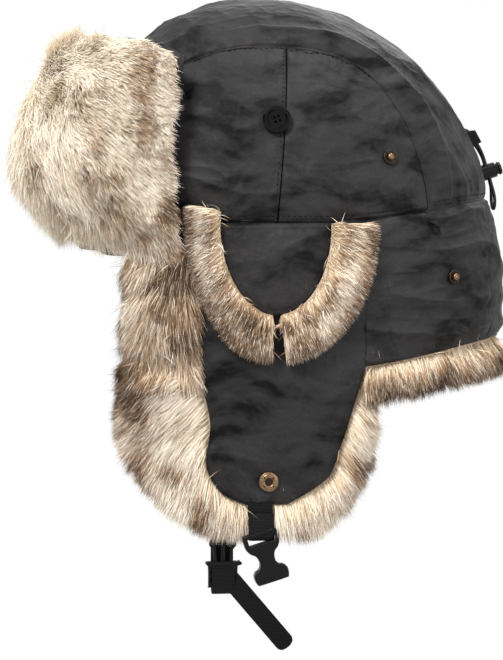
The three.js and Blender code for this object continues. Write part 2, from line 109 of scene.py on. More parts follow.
def oval(angle, z, inset=0.0):
    side, back, front, middle = section(z, inset)
    c, s = np.cos(angle), np.sin(angle)
    length = np.where(s > 0, back, front)
    x = side * np.sign(c) * np.abs(c) ** CORNER
    y = middle + length * np.sign(s) * np.abs(s) ** CORNER
    return points(x, y, z)


def oval_angle(p):
    side, back, front, middle = section(p[..., 2])
    y = p[..., 1] - middle
    length = np.where(y > 0, back, front)
    c = np.sign(p[..., 0]) * np.abs(p[..., 0] / np.maximum(side, 1e-6)) ** (1 / CORNER)
    s = np.sign(y) * np.abs(y / np.maximum(length, 1e-6)) ** (1 / CORNER)
    return np.arctan2(s, c)


def side_x(y, z):
    side, back, front, middle = section(z)
    length = np.where(y > middle, back, front)
    share = np.clip(np.abs(y - middle) / np.maximum(length, 1e-6), 0, 1)
    return side * (1 - share**POWER) ** (1 / POWER)


def fur_side_x(y, z):
    return np.where(y > TEMPLE_Y, side_x(y, z), side_x(TEMPLE_Y, z) - TEMPLE_SLOPE * (TEMPLE_Y - y))


def flap_x(y, z):
    flat = 96 - 0.0028 * (y + 30) ** 2
    return mix(fur_side_x(y, FOLD_Z), flat, smooth((FOLD_Z - z) / 80))


def any_side_x(y, z):
    return np.where(z > FOLD_Z, fur_side_x(y, z), flap_x(y, z))


def seam_height(angle):
    return CROWN["seam_z"] + CROWN["rise"] * smooth(np.sin(angle))


def neck_hem(angle):
    return mix(HEM_FRONT, HEM_BACK, smooth(np.sin(angle)))


def edge_height(angle, brow, past, half=BROW_HALF, over=8):
    """An edge at the height brow in front that steps to the height past beyond half degrees to each side."""
    from_front = np.abs((np.degrees(angle) + 270) % 360 - 180)
    return mix(brow, past, smooth((from_front - half) / over))


def spline(control, t):
    """Catmull-Rom through the control points, t from 0 to 1."""
    p = np.array([control[0], *control, control[-1]], float)
    at = np.clip(np.asarray(t, float), 0, 1) * (len(control) - 1)
    i = np.minimum(at.astype(int), len(control) - 2)
    w = (at - i)[..., None]
    a, b, c, d = p[i], p[i + 1], p[i + 2], p[i + 3]
    start, end = (c - a) / 2, (d - b) / 2
    cubic = (2 * b - 2 * c + start + end) * w**3
    return cubic + (-3 * b + 3 * c - 2 * start - end) * w**2 + start * w + b


def lengths(line):
    """The distance along a line at each of its points."""
    return np.concatenate([[0], np.cumsum(np.linalg.norm(np.diff(line, axis=0), axis=1))])


def resample(line, count):
    along = lengths(line)
    at = np.linspace(0, along[-1], count)
    return np.stack([np.interp(at, along, line[:, k]) for k in range(line.shape[1])], 1)


# ---- Noise, the same on every run ----


def lattice(i, seed):
    h = i[..., 0] * 73856093 ^ i[..., 1] * 19349663 ^ i[..., 2] * 83492791 ^ (seed * 2654435 + 977)
    h = h & 0x7FFFFFFF
    h = ((h ^ (h >> 13)) * 1274126177) & 0x7FFFFFFF
    h = ((h ^ (h >> 15)) * 668265263) & 0x7FFFFFFF
    return h / 0x3FFFFFFF - 1.0


def noise(p, size, seed=0):
    """Smooth noise from -1 to 1 at points p, with features about size apart."""
    q = p / size
    base = np.floor(q).astype(np.int64)
    f = q - base
    f = f * f * (3 - 2 * f)
    total = 0.0
    for corner in range(8):
        bits = np.array([corner & 1, corner >> 1 & 1, corner >> 2 & 1])
        weight = np.prod(np.where(bits, f, 1 - f), axis=-1)
        total = total + weight * lattice(base + bits, seed)
    return total


def ridge(p, size, seed=0):
    """Noise that folds into narrow creases, from 0 to 1."""
    return (1 - np.abs(noise(p, size, seed))) ** 2


# ---- Meshes ----


def grid_normals(p):
    du = np.gradient(p, axis=1)
    dv = np.gradient(p, axis=0)
    return unit(np.cross(du, dv))


def grid_faces(rows, columns, ring=False, start=0):
    j, i = np.meshgrid(np.arange(rows - 1), np.arange(columns if ring else columns - 1), indexing="ij")
    nxt = (i + 1) % columns
    quads = np.stack([j * columns + i, j * columns + nxt, (j + 1) * columns + nxt, (j + 1) * columns + i], -1)
    return quads.reshape(-1, 4) + start


def linked(name, data):
    obj = bpy.data.objects.new(name, data)
    bpy.context.scene.collection.objects.link(obj)
    return obj


def mesh_object(name, vertices_mm, faces, material):
    mesh = bpy.data.meshes.new(name)
    mesh.from_pydata((np.asarray(vertices_mm) * MM).tolist(), [], np.asarray(faces).tolist())
    mesh.materials.append(material)
    mesh.polygons.foreach_set("use_smooth", [True] * len(mesh.polygons))
    mesh.validate()
    return linked(name, mesh)


def capped_object(name, vertices_mm, faces, caps, material):
    """A mesh of quads with triangles over its open ends."""
    mesh = bpy.data.meshes.new(name)
    mesh.from_pydata((vertices_mm * MM).tolist(), [], [tuple(f) for f in faces] + caps)
    mesh.materials.append(material)
    mesh.polygons.foreach_set("use_smooth", [True] * len(mesh.polygons))
    mesh.update()
    return linked(name, mesh)


def finish_piece(obj, body, nodes=()):
    if body:
        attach(obj, body)
    if nodes:
        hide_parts(*nodes)
    return obj


def mirrored(p, side):
    return p * np.array([side, 1, 1])


SIDES = (("left", 1), ("right", -1))

# ---- Materials ----


def new_material(name):
    material = bpy.data.materials.new(name)
    material.use_nodes = True
    tree = material.node_tree
    shader = tree.nodes["Principled BSDF"]
    return material, tree, shader


def node(tree, kind, inputs=None, **settings):
    made = tree.nodes.new(kind)
    for key, value in settings.items():
        setattr(made, key, value)
    for key, value in (inputs or {}).items():
        if hasattr(value, "is_output"):
            tree.links.new(value, made.inputs[key])
        else:
            made.inputs[key].default_value = value
    return made


def ramp(tree, factor, stops):
    made = node(tree, "ShaderNodeValToRGB", {"Fac": factor})
    while len(made.color_ramp.elements) < len(stops):
        made.color_ramp.elements.new(0.5)
    for element, (at, colour) in zip(made.color_ramp.elements, stops):
        element.position = at
        element.color = (*colour, 1) if len(colour) == 3 else colour
    return made.outputs["Color"]


def grey(value):
    return (value, value, value)


def mixed(tree, factor, first, second, kind="RGBA", **settings):
    made = node(tree, "ShaderNodeMix", {"Factor": factor}, data_type=kind, **settings)
    tree.links.new(first, made.inputs["A"])
    tree.links.new(second, made.inputs["B"])
    return made.outputs["Result"]


def bumped(tree, strength, distance, height, normal=None):
    inputs = {"Strength": strength, "Distance": distance, "Height": height.outputs["Fac"]}
    if normal:
        inputs["Normal"] = normal
    return node(tree, "ShaderNodeBump", inputs).outputs[0]


def texture(tree, place, scale, detail, roughness=0.5, distortion=0.0, kind="FBM"):
    """Noise over a place: its scale is per metre."""
    inputs = {"Vector": place, "Scale": scale, "Detail": detail}
    inputs.update(Roughness=roughness, Distortion=distortion)
    return node(tree, "ShaderNodeTexNoise", inputs, noise_type=kind)


def set_up(tree, shader, specular=None, **values):
    """Links outputs to the shader's sockets, and sets plain values on them."""
    if specular is not None:
        shader.inputs["Specular IOR Level"].default_value = specular
    for key, value in values.items():
        socket = shader.inputs[key.replace("_", " ").title()]
        if hasattr(value, "is_output"):
            tree.links.new(value, socket)
        else:
            socket.default_value = value


def nylon_material(name, dark, light, crinkle=1.0):
    """Thin crumpled nylon: long creases with painted shade (darker patches of its colour), a fine grain, and
    bumps for the smallest folds.
    """
    material, tree, shader = new_material(name)
    place = node(tree, "ShaderNodeTexCoord").outputs["Object"]
    bend = texture(tree, place, 16.0, 2.0)
    bent = mixed(tree, 0.03, place, bend.outputs["Color"], "VECTOR")
    drawn = {"Vector": bent, "Scale": (1.0, 1.0, 2.3), "Rotation": (0.12, 0.0, 0.0)}
    patch = texture(tree, node(tree, "ShaderNodeMapping", drawn).outputs[0], 30.0, 5.0, 0.55)
    grain = texture(tree, place, 850.0, 2.0)
    middle = tuple(0.45 * a + 0.55 * b for a, b in zip(dark, light))
    # Painted shade: the colour runs from dark to light in long patches that stand for the shade in the
    # creases and the light on the folds.
    patches = ramp(tree, patch.outputs["Fac"], [(0.37, dark), (0.45, middle), (0.57, light)])
    specks = ramp(tree, grain.outputs["Fac"], [(0.3, grey(0.72)), (0.7, grey(1.0))])
    crease = texture(tree, bent, 62.0, 5.0, 0.6, 0.8, "RIDGED_MULTIFRACTAL")
    soft = texture(tree, place, 240.0, 3.0, distortion=0.6)
    folds = bumped(tree, 0.6 * crinkle, 0.0012, crease)
    crumple = bumped(tree, 0.4, 0.0005, soft, folds)
    set_up(
        tree, shader, 0.12, base_color=mixed(tree, 1.0, patches, specks, blend_type="MULTIPLY"),
        normal=bumped(tree, 0.4, 0.0002, grain, crumple),
        roughness=ramp(tree, crease.outputs["Fac"], [(0.2, grey(0.52)), (0.8, grey(0.4))]),
    )
    return material


LIGHT_HAIR = [
    (0.0, (0.66, 0.53, 0.38)), (0.3, (0.88, 0.77, 0.61)), (0.8, (0.96, 0.90, 0.79)),
    (1.0, (0.94, 0.86, 0.72)),
]
BANDED_HAIR = [
    (0.0, (0.40, 0.29, 0.18)), (0.3, (0.78, 0.65, 0.48)), (0.55, (0.74, 0.56, 0.36)),
    (0.78, (0.36, 0.20, 0.10)), (1.0, (0.055, 0.032, 0.02)),
]
DARK_HAIR = [
    (0.0, (0.26, 0.17, 0.10)), (0.3, (0.42, 0.27, 0.15)), (0.65, (0.12, 0.066, 0.036)),
    (1.0, (0.025, 0.016, 0.012)),
]


def fur_material(name):
    """Strand colour from the strand's tone (u) and the place along it (v): beige root, cream, brown tip."""
    material, tree, shader = new_material(name)
    uv = node(tree, "ShaderNodeUVMap", uv_map="OFBake").outputs["UV"]
    parts = node(tree, "ShaderNodeSeparateXYZ", {"Vector": uv})
    tone, along = parts.outputs["X"], parts.outputs["Y"]
    light, banded, dark = (ramp(tree, along, stops) for stops in (LIGHT_HAIR, BANDED_HAIR, DARK_HAIR))
    paler = mixed(tree, ramp(tree, tone, [(0.12, grey(0.0)), (0.5, grey(1.0))]), light, banded)
    coat = mixed(tree, ramp(tree, tone, [(0.55, grey(0.0)), (0.95, grey(1.0))]), paler, dark)
    set_up(tree, shader, 0.2, base_color=coat, roughness=0.62)
    return material


def simple_material(name, colour, roughness, metallic=0.0, bump=0.0, scale=400.0, spread=0.25, specular=None):
    material, tree, shader = new_material(name)
    place = node(tree, "ShaderNodeTexCoord").outputs["Object"]
    grain = texture(tree, place, scale, 4.0)
    darker, lighter = (tuple(min(c * (1 + k * spread), 1) for c in colour) for k in (-1, 1))
    rough = [(0.3, grey(roughness * 0.85)), (0.7, grey(min(roughness * 1.15, 1)))]
    set_up(
        tree, shader, specular, base_color=ramp(tree, grain.outputs["Fac"], [(0.3, darker), (0.7, lighter)]),
        roughness=ramp(tree, grain.outputs["Fac"], rough), metallic=metallic,
    )
    if bump:
        set_up(tree, shader, normal=bumped(tree, bump, 0.0003, grain))
    return material


def webbing_material():
    material, tree, shader = new_material("webbing_ribs")
    place = node(tree, "ShaderNodeTexCoord").outputs["Object"]
    bands = {"Vector": place, "Scale": 330.0, "Distortion": 1.5}
    wave = node(tree, "ShaderNodeTexWave", bands, bands_direction="Z")
    ribs = ramp(tree, wave.outputs["Fac"], [(0.0, grey(0.003)), (1.0, grey(0.013))])
    set_up(tree, shader, 0.1, base_color=ribs, normal=bumped(tree, 0.6, 0.0004, wave), roughness=0.8)
    return material


# The dark and light colours of both cloths are the painted shade and painted light of their creases.
NYLON = nylon_material("nylon_crinkled", (0.0022, 0.0019, 0.0020), (0.0275, 0.0260, 0.0260))
LINING = nylon_material("lining_satin", (0.006, 0.006, 0.0065), (0.011, 0.011, 0.012), 0.4)
FUR = fur_material("faux_fur_pile")
BRASS = simple_material("antique_brass", (0.20, 0.125, 0.07), 0.32, 0.9, 0.25, 900.0, 0.5)
# Painted shade: a darker copy of the brass for the snaps' rims, grooves, wells and pits.
BRASS_SHADED = simple_material("brass_painted_shade", (0.030, 0.019, 0.012), 0.42, 0.8, 0.3, 900.0, 0.5)
PLASTIC = simple_material("moulded_plastic", (0.0035, 0.0035, 0.004), 0.3, 0.0, 0.12, 1500.0, specular=0.16)
GLOSS = simple_material("button_gloss", (0.0014, 0.0014, 0.0016), 0.14, 0.0, 0.0, 300.0, specular=0.16)
WEBBING = webbing_material()
ELASTIC = simple_material("braided_elastic", (0.010, 0.010, 0.011), 0.8, 0.0, 0.6, 2200.0)
THREAD = simple_material("sewing_thread", (0.010, 0.0095, 0.010), 0.7, 0.0, 0.4, 3000.0, specular=0.05)
# Near-black: painted shade laid in the seam grooves.
SHADE = simple_material("seam_painted_shade", (0.0008, 0.0008, 0.0008), 0.9, 0.0, 0.0, 3000.0, specular=0.05)

# ---- Camera, lights and stage ----

VIEW_AZIMUTH, VIEW_ELEVATION, VIEW_DISTANCE = 82.0, 3.5, 1.75
VIEW_HEIGHT = 440.0
AIM_RIGHT, AIM_UP = -29.0, 6.7


def make_camera():
    a, e = math.radians(VIEW_AZIMUTH), math.radians(VIEW_ELEVATION)
    away = Vector((math.sin(a) * math.cos(e), -math.cos(a) * math.cos(e), math.sin(e)))
    right = Vector((math.cos(a), math.sin(a), 0))
    up = away.cross(right)
    aim = (right * AIM_RIGHT + up * AIM_UP) * MM
    data = bpy.data.cameras.new("camera")
    data.sensor_fit = "VERTICAL"
    data.sensor_height = 24
    data.lens = 24 * VIEW_DISTANCE / (VIEW_HEIGHT * MM)
    camera = linked("camera", data)
    camera.matrix_world = Matrix.Translation(aim + away * VIEW_DISTANCE) @ Matrix(
        [[right[k], up[k], away[k]] for k in range(3)]
    ).to_4x4()
    bpy.context.scene.camera = camera


def area_light(name, place, aim, size, power):
    data = bpy.data.lights.new(name, "AREA")
    data.shape = "DISK"
    data.size = size
    data.energy = power
    light = linked(name, data)
    light.location = place
    light.rotation_euler = (Vector(aim) - Vector(place)).to_track_quat("-Z", "Y").to_euler()


def make_stage():
    world = bpy.data.worlds.new("studio")
    world.use_nodes = True
    background = world.node_tree.nodes["Background"]
    background.inputs["Color"].default_value = (1.0, 1.0, 1.0, 1)
    background.inputs["Strength"].default_value = 1.0
    bpy.context.scene.world = world
    bpy.context.scene.view_settings.view_transform = "Standard"
    area_light("key", (1.35, -1.1, 1.7), (0, 0, 0.05), 0.6, 46)
    area_light("fill", (1.7, 1.3, 0.5), (0, 0, 0), 1.0, 12)
    area_light("top", (0.2, 0.6, 2.0), (0, 0, 0.1), 0.8, 20)
    area_light("back", (-1.6, 0.6, 1.2), (0, 0, 0.1), 1.2, 12)


make_camera()
make_stage()

# ---- Drawcord ----

CORD_HALF = [
    (5.5, 112.8, 140), (5.7, 115.8, 138.8), (5.4, 118.6, 135.8), (4.5, 121.6, 131.6), (3, 124.9, 126.6),
    (1.8, 127.3, 121.7), (1.6, 128.9, 116.8), (1.6, 130.4, 112), (1.6, 131.9, 107.2), (1.8, 133.2, 102.6),
    (3.4, 134, 98.6), (4.9, 134.4, 94.7), (4.8, 134.6, 91.2), (2.9, 134.7, 88.2),
]
CORD_ROUTE = [(-x, y, z) for x, y, z in CORD_HALF] + [(0, 134.8, 87.2)] + CORD_HALF[::-1]
CORD_DIAMETER = 2.2


def make_drawcord():
    line = resample(spline(CORD_ROUTE, np.linspace(0, 1, 600)), 180)
    curve = bpy.data.curves.new("drawcord", "CURVE")
    curve.dimensions = "3D"
    curve.bevel_depth = CORD_DIAMETER / 2 * MM
    curve.bevel_resolution = 4
    curve.use_fill_caps = True
    track = curve.splines.new("POLY")
    track.points.add(len(line) - 1)
    for point, place in zip(track.points, line):
        point.co = (*(place * MM), 1)
    curve.materials.append(ELASTIC)
    obj = linked("elastic_drawcord", curve)
    finish_piece(obj, "hat_body", ["drawcord"])


make_drawcord()

# ---- Padded nylon panels ----

EDGE_LINE = spline(STRIP_EDGE, np.linspace(0, 1, 400))
FAN_Y, FAN_Z = -20.0, 60.0
SKIRT_Z = 72.0


def strip_half_width(y):
    return np.interp(y, EDGE_LINE[:, 1], EDGE_LINE[:, 0])


def arc_seam(count):
    """The curved seam between the centre strip and a side panel, from front to back, on the left."""
    fan = np.linspace(math.radians(178), math.radians(2), 1200)
    low, high = np.zeros_like(fan), np.full_like(fan, 190.0)
    for _ in range(40):
        r = (low + high) / 2
        y, z = FAN_Y + r * np.cos(fan), FAN_Z + r * np.sin(fan)
        inside = side_x(y, z) > strip_half_width(y)
        low, high = np.where(inside, r, low), np.where(inside, high, r)
    y, z = FAN_Y + low * np.cos(fan), FAN_Z + low * np.sin(fan)
    line = points(strip_half_width(y), y, z)[z > SKIRT_Z]
    return resample(line, count)


def seam_field(p, line):
    """Distance to a seam and place along it, for every point of a grid."""
    flat = p.reshape(-1, 3)
    along = lengths(line)
    near = np.empty(len(flat))
    place = np.empty(len(flat))
    for start in range(0, len(flat), 4000):
        part = flat[start : start + 4000]
        gap = ((part[:, None, :] - line[None]) ** 2).sum(-1)
        best = gap.argmin(1)
        near[start : start + 4000] = np.sqrt(gap[np.arange(len(part)), best])
        place[start : start + 4000] = along[best]
    return near.reshape(p.shape[:-1]), place.reshape(p.shape[:-1])


def seam_relief(p, line, seed, depth=2.2, pucker=1.1, reach=13.0):
    """Height change near a seam: the sewn groove, a flat allowance and the gathers that run from it."""
    near, along = seam_field(p, line)
    groove = -depth * np.exp(-((near / 1.3) ** 2)) - 0.25 * np.exp(-(((near - 3.6) / 0.8) ** 2))
    across = np.stack([along, near * 0.22, np.full_like(near, seed * 31.7)], -1)
    gathers = noise(across, 5.2, seed) * 0.65 + noise(across, 2.6, seed + 1) * 0.35
    gathers = gathers + noise(across, 11.0, seed + 2) * 0.7
    return groove + pucker * gathers * np.exp(-near / reach) * (1 - np.exp(-near / 1.5)), near


def cloth_relief(p, seed, size=1.0, grain=(1, 0.8, 1.4)):
    """Loose folds, creases and the fine crumple of washed nylon."""
    warp = np.stack([noise(p, 40, seed + 10 + k) for k in range(3)], -1) * 9
    q = p + warp
    drawn = q * np.array(grain)
    folds = 2.1 * (ridge(drawn, 40, seed) ** 1.5 - 0.35)
    mid = 1.0 * (ridge(drawn + 50, 19, seed + 3) ** 2 - 0.3) * smooth(0.6 + noise(p, 45, seed + 6))
    small = 0.32 * (ridge(q * 0.5 + drawn * 0.5, 8.5, seed + 4) ** 2 - 0.3)
    fine = 0.10 * noise(p, 3.2, seed + 5)
    return size * (folds + mid + small + fine)


def stud_places():
    """Where buttons and snaps press the padding down, on both sides, with each one's reach."""
    y, z = BUTTON_PLACE
    spots = [((side_x(y, z), y, z), 11.0)]
    spots += [((side_x(y, z), y, z), 8.0) for y, z in ((46.0, 121.0), (89.0, 45.0))]
    _, back, _, middle = section(np.array(44.0))
    both = [(np.array(p, float) * np.array([k, 1, 1]), reach) for p, reach in spots for k in (1, -1)]
    sockets = [(np.array([k * float(flap_x(-32.0, -83.0)), -32.0, -83.0]), 8.5) for k in (1, -1)]
    return both + sockets + [(np.array([0.0, float(middle + back), 44.0]), 8.0)]


def pressed(p, height):
    """The height with a dimple at each button and snap, flat at the CAD surface under it."""
    for place, reach in stud_places():
        near = np.linalg.norm(p - place, axis=-1)
        height = mix(-0.05, height, smooth((near - reach * 0.62) / reach))
    return height


def panel(name, p, seams, seed, body, nodes, puff=2.6, thick=2.4, size=1.0, outward=(0, -20, 60), press=True,
          tuck=False, grain=(1, 0.8, 1.4), sink=0.4, fine_seams=(), ridge_line=None, **extra):
    """A padded panel: its outer face swells between its seams, and its inner face is plain."""
    normal = grid_normals(p)
    facing = ((p - np.array(outward)) * normal).sum(-1)
    normal = np.where(facing.sum() > 0, normal, -normal)
    height = cloth_relief(p, seed, size, grain)
    nearest = np.full(p.shape[:-1], 1e3)
    for k, line in enumerate(seams):
        relief, near = seam_relief(p, line, seed + 20 + 5 * k, **extra)
        height = height + relief
        nearest = np.minimum(nearest, near)
    height = height + puff * (1 - np.exp(-nearest / 7)) - sink
    for line, level in fine_seams:
        near, _ = seam_field(p, line)
        height = height - level * np.exp(-((near / 0.9) ** 2)) - 0.5 * level * np.exp(-near / 5)
    if ridge_line is not None:
        near, along = seam_field(p, ridge_line)
        crest = 17 + 3 * np.sin(along / 38)
        height = height + 2.6 * np.exp(-np.abs(near - crest) / 3.4) * smooth((along - 130) / 60)
    if press:
        height = pressed(p, height)
    if tuck:
        angle = oval_angle(p)
        height = height - 5 * smooth((seam_height(angle) + 1.0 - p[..., 2]) / 3.5)
    outer = p + normal * height[..., None]
    inner = p - normal * thick
    vertices, faces = closed(outer, inner)
    if facing.sum() < 0:
        faces = faces[:, ::-1]
    obj = mesh_object(name, vertices, faces, NYLON)
    finish_piece(obj, body, nodes)
    return obj, outer, normal


def closing_faces(rows, columns):
    """The strip of quads that joins a grid's rim to the same rim of the grid that follows it."""
    grid = np.arange(rows * columns).reshape(rows, columns)
    ring = np.concatenate([grid[0, :], grid[1:, -1], grid[-1, -2::-1], grid[-2:0:-1, 0]])
    nxt = np.roll(ring, -1)
    under = rows * columns
    return np.stack([ring, ring + under, nxt + under, nxt], -1)


def closed(outer, inner):
    """One closed body from two grids that share their rim."""
    rows, columns = outer.shape[:2]
    vertices = np.concatenate([outer.reshape(-1, 3), inner.reshape(-1, 3)])
    back = grid_faces(rows, columns, start=rows * columns)[:, ::-1]
    return vertices, np.concatenate([grid_faces(rows, columns), back, closing_faces(rows, columns)])


def stitches(name, line, normals, body, pitch=3.4, length=2.3, radius=0.24, material=None):
    """A row of sewn stitches lying along a line on the cloth."""
    along = lengths(line)
    starts = np.arange(1.0, along[-1] - length, pitch)
    verts, faces = [], []
    profile = [(0.0, 0.35, -0.1), (0.25, 1.0, 0.55), (0.75, 1.0, 0.55), (1.0, 0.35, -0.1)]
    for at in starts:
        places = [at + length * t for t, _, _ in profile]
        here = np.stack([np.interp(places, along, line[:, k]) for k in range(3)], 1)
        up = unit(np.array([np.interp(at, along, normals[:, k]) for k in range(3)]))
        forward = unit(here[3] - here[0])
        aside = np.cross(up, forward)
        base = len(verts)
        for (t, fat, lift), centre in zip(profile, here):
            middle = centre + up * radius * lift
            for turn in range(5):
                a = turn * 2 * math.pi / 5
                verts.append(middle + radius * fat * (math.cos(a) * aside + math.sin(a) * up))
        for ring in range(3):
            for turn in range(5):
                a, b = base + ring * 5 + turn, base + ring * 5 + (turn + 1) % 5
                faces.append((a, b, b + 5, a + 5))
    obj = mesh_object(name, np.array(verts), np.array(faces), material or THREAD)
    return finish_piece(obj, body)


def offset_rows(outer, normal, inside):
    """The line on a grid that lies a given distance in from its last row."""
    columns, norms = outer[::-1], normal[::-1]
    result, ups = [], []
    for i in range(outer.shape[1]):
        column = columns[:, i]
        along = lengths(column)
        if along[-1] < inside * 2.2:
            continue
        result.append([np.interp(inside, along, column[:, k]) for k in range(3)])
        ups.append([np.interp(inside, along, norms[:, i, k]) for k in range(3)])
    return np.array(result), np.array(ups)


ARC = arc_seam(420)


def base_seam(first, last, count):
    angle = np.radians(np.linspace(first, last, count))
    return oval(angle, seam_height(angle))


def side_panel(name, side, seed):
    columns, rows = 300, 120
    top = resample(ARC, columns)
    first = np.degrees(oval_angle(top[0]))
    last = np.degrees(oval_angle(top[-1]))
    angle = np.radians(np.linspace(first, last, 800))
    bottom = resample(oval(angle, seam_height(angle) - 7), columns)
    v = np.linspace(0, 1, rows)[:, None]
    y = mix(bottom[None, :, 1], top[None, :, 1], v)
    z = mix(bottom[None, :, 2], top[None, :, 2], v)
    p = points(side_x(y, z), y, z)
    middle_z = np.linspace(60, 215, 200)
    middle_y = -27 + 10 * np.clip((middle_z - 80) / 100, 0, 1.5)
    upright = points(side_x(middle_y, middle_z), middle_y, middle_z)
    upright = upright[upright[:, 0] > strip_half_width(upright[:, 1])]
    seams = [ARC, base_seam(first, last, 400)]
    if side < 0:
        p = mirrored(p, -1)
        seams = [mirrored(line, -1) for line in seams]
        upright = mirrored(upright, -1)
    _, outer, normal = panel(
        f"side_panel_{name}", p, seams, seed, "hat_body", [f"crown_side_panel_{name}"], tuck=True,
        grain=(1, 0.7, 1.3), sink=1.6, fine_seams=[(upright, 1.0)],
    )
    line, ups = offset_rows(outer, normal, 3.6)
    stitches(f"arc_stitching_{name}", line, ups, "hat_body")
    # Painted shade: near-black thread-like pieces laid in the arc and upright seam grooves stand for the
    # shade there.
    line, ups = offset_rows(outer, normal, 1.0)
    stitches(f"arc_seam_shade_{name}", line, ups, "hat_body", material=SHADE, **SEAM_SHADE_LINE)
    stitches_on(f"upright_seam_shade_{name}", outer, normal, upright, "hat_body", material=SHADE, **SEAM_SHADE_LINE)
    stitches_on(f"upright_stitching_{name}", outer, normal, upright + np.array([0, -2.2, 0]), "hat_body")
    base = base_seam(first + 3, last - 3, 500)
    if side < 0:
        base = mirrored(base, -1)
    stitches_on(f"base_stitching_{name}", outer, normal, base + np.array([0, 0, 4.2]), "hat_body")


SEAM_SHADE_LINE = dict(pitch=1.6, length=2.2, radius=0.42)


def stitches_on(name, outer, normal, line, body, **thread):
    """Stitches along a line dropped onto the nearest points of a grid."""
    line = resample(line, 260)
    flat, ups = outer.reshape(-1, 3), normal.reshape(-1, 3)
    near = np.array([((flat - point) ** 2).sum(-1).argmin() for point in line])
    height = ((flat[near] - line) * ups[near]).sum(-1)
    kernel = np.ones(5) / 5
    height = np.convolve(np.pad(height, 2, "edge"), kernel, "valid")
    stitches(name, line + ups[near] * height[:, None], ups[near], body, **thread)


def dome_hit(origin, direction):
    """Where rays from inside meet the dome."""
    low, high = np.zeros(direction.shape[:-1]), np.full(direction.shape[:-1], 240.0)
    for _ in range(36):
        r = (low + high) / 2
        p = origin + direction * r[..., None]
        side, back, front, middle = section(p[..., 2])
        length = np.where(p[..., 1] > middle, back, front)
        across = np.abs(p[..., 0]) / np.maximum(side, 1e-6)
        ahead = np.abs(p[..., 1] - middle) / np.maximum(length, 1e-6)
        inside = (across**POWER + ahead**POWER < 1) & (p[..., 2] < CROWN["top_z"])
        low, high = np.where(inside, r, low), np.where(inside, high, r)
    return origin + direction * low[..., None]


def centre_strip():
    rows, columns = 420, 140
    edge = resample(ARC, rows)
    origin = np.array([0, FAN_Y, FAN_Z])
    reach = np.hypot(edge[:, 1] - FAN_Y, edge[:, 2] - FAN_Z)
    aim = np.stack([np.zeros(rows), (edge[:, 1] - FAN_Y) / reach, (edge[:, 2] - FAN_Z) / reach], -1)
    widest = np.arctan2(edge[:, 0], reach)
    u = np.linspace(-1, 1, columns)
    turn = widest[:, None] * u[None, :]
    direction = np.cos(turn)[..., None] * aim[:, None, :] + np.sin(turn)[..., None] * np.array([1.0, 0, 0])
    p = dome_hit(origin, direction)
    seams = [ARC, mirrored(ARC, -1), base_seam(-180, 0, 400), base_seam(0, 180, 400)]
    _, outer, normal = panel(
        "centre_strip", p, seams, 3, "hat_body", ["crown_center_strip"], puff=3.2, tuck=True,
        grain=(1.7, 0.75, 0.8), sink=3.0, ridge_line=ARC,
    )
    base = base_seam(35, 145, 500)
    stitches_on("back_base_stitching", outer, normal, base + np.array([0, 0, 4.2]), "hat_body")


side_panel("left", 1, 1)
side_panel("right", -1, 2)
centre_strip()

# ---- Bands, flaps, covers and lining ----


def wall_grid(first, last, low, high, rows, columns):
    angle = np.radians(np.linspace(first, last, columns))[None, :]
    v = np.linspace(0, 1, rows)[:, None]
    return oval(angle, mix(low(angle), high(angle), v))


def side_cloth_grid(rows_band, rows_flap, columns):
    """Nylon from the base seam over the ear and down the flap, in one piece, on the left."""
    u = np.linspace(0, 1, columns)[None, :]
    v = np.linspace(0, 1, rows_band)[:, None]
    y_band = mix(BAND_FRONT, BAND_REAR, u) + 0 * v
    z_band = mix(82.0, FOLD_Z - 0.5, v) + 0 * u
    w = np.linspace(0, 1, rows_flap + 1)[1:]
    front, rear = spline(FLAP_FRONT, w), spline(FLAP_REAR, w)
    flap = mix(front[:, None], rear[:, None], u[..., None])
    y = np.concatenate([y_band, flap[..., 0]])
    z = np.concatenate([z_band, flap[..., 1]])
    return points(any_side_x(y, z), y, z)


def side_cloth(name, side, seed):
    p = side_cloth_grid(100, 100, 120)
    front, rear, bottom = p[:, 0], p[:, -1], p[-1]
    top = base_seam(-35, 13, 160)
    seams = [top, front, rear[rear[:, 2] < FOLD_Z], bottom]
    if side < 0:
        p = mirrored(p, -1)
        seams = [mirrored(line, -1) for line in seams]
    obj, _, _ = panel(
        f"side_cloth_{name}", p, seams, seed, None, [f"side_band_{name}", f"ear_flap_shell_{name}"], puff=2.4,
        depth=1.5, grain=(1, 1.5, 0.8), sink=1.0,
    )
    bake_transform(obj)


def neck_cloth():
    p = wall_grid(10.2, 169.8, neck_hem, lambda a: seam_height(a) + 1, 110, 330)
    panel("neck_flap_cloth", p, [p[-1], p[0]], 9, "hat_body", ["neck_flap"], puff=3.4, size=1.35, depth=1.5,
          grain=(0.5, 0.5, 2.1), sink=2.4)


def forehead_cloth():
    def low(a):
        return edge_height(a, BROW_Z, TEMPLE_TOP + 3)

    p = wall_grid(-147, -33, low, lambda a: 0 * a + 81, 36, 220)
    panel("forehead_cloth", p, [p[-1], p[0]], 12, "hat_body", ["forehead_band"], puff=1.6, size=0.6)


def visor_point(angle, z, out):
    bulge = VISOR["bulge"] * np.sin(np.pi * (z - VISOR["bulge_z"]) / (VISOR["top_z"] - VISOR["bulge_z"]))
    c, s = np.cos(angle), np.sin(angle)
    x = (VISOR["half_width"] + out) * np.sign(c) * np.abs(c) ** CORNER
    y = -(VISOR["front"] + bulge + out) * np.abs(s) ** CORNER
    return points(x, y, z)


def visor_top(u):
    """The visor's top edge drops towards its rounded ends."""
    return 197 - 14 * np.abs(u) ** 6


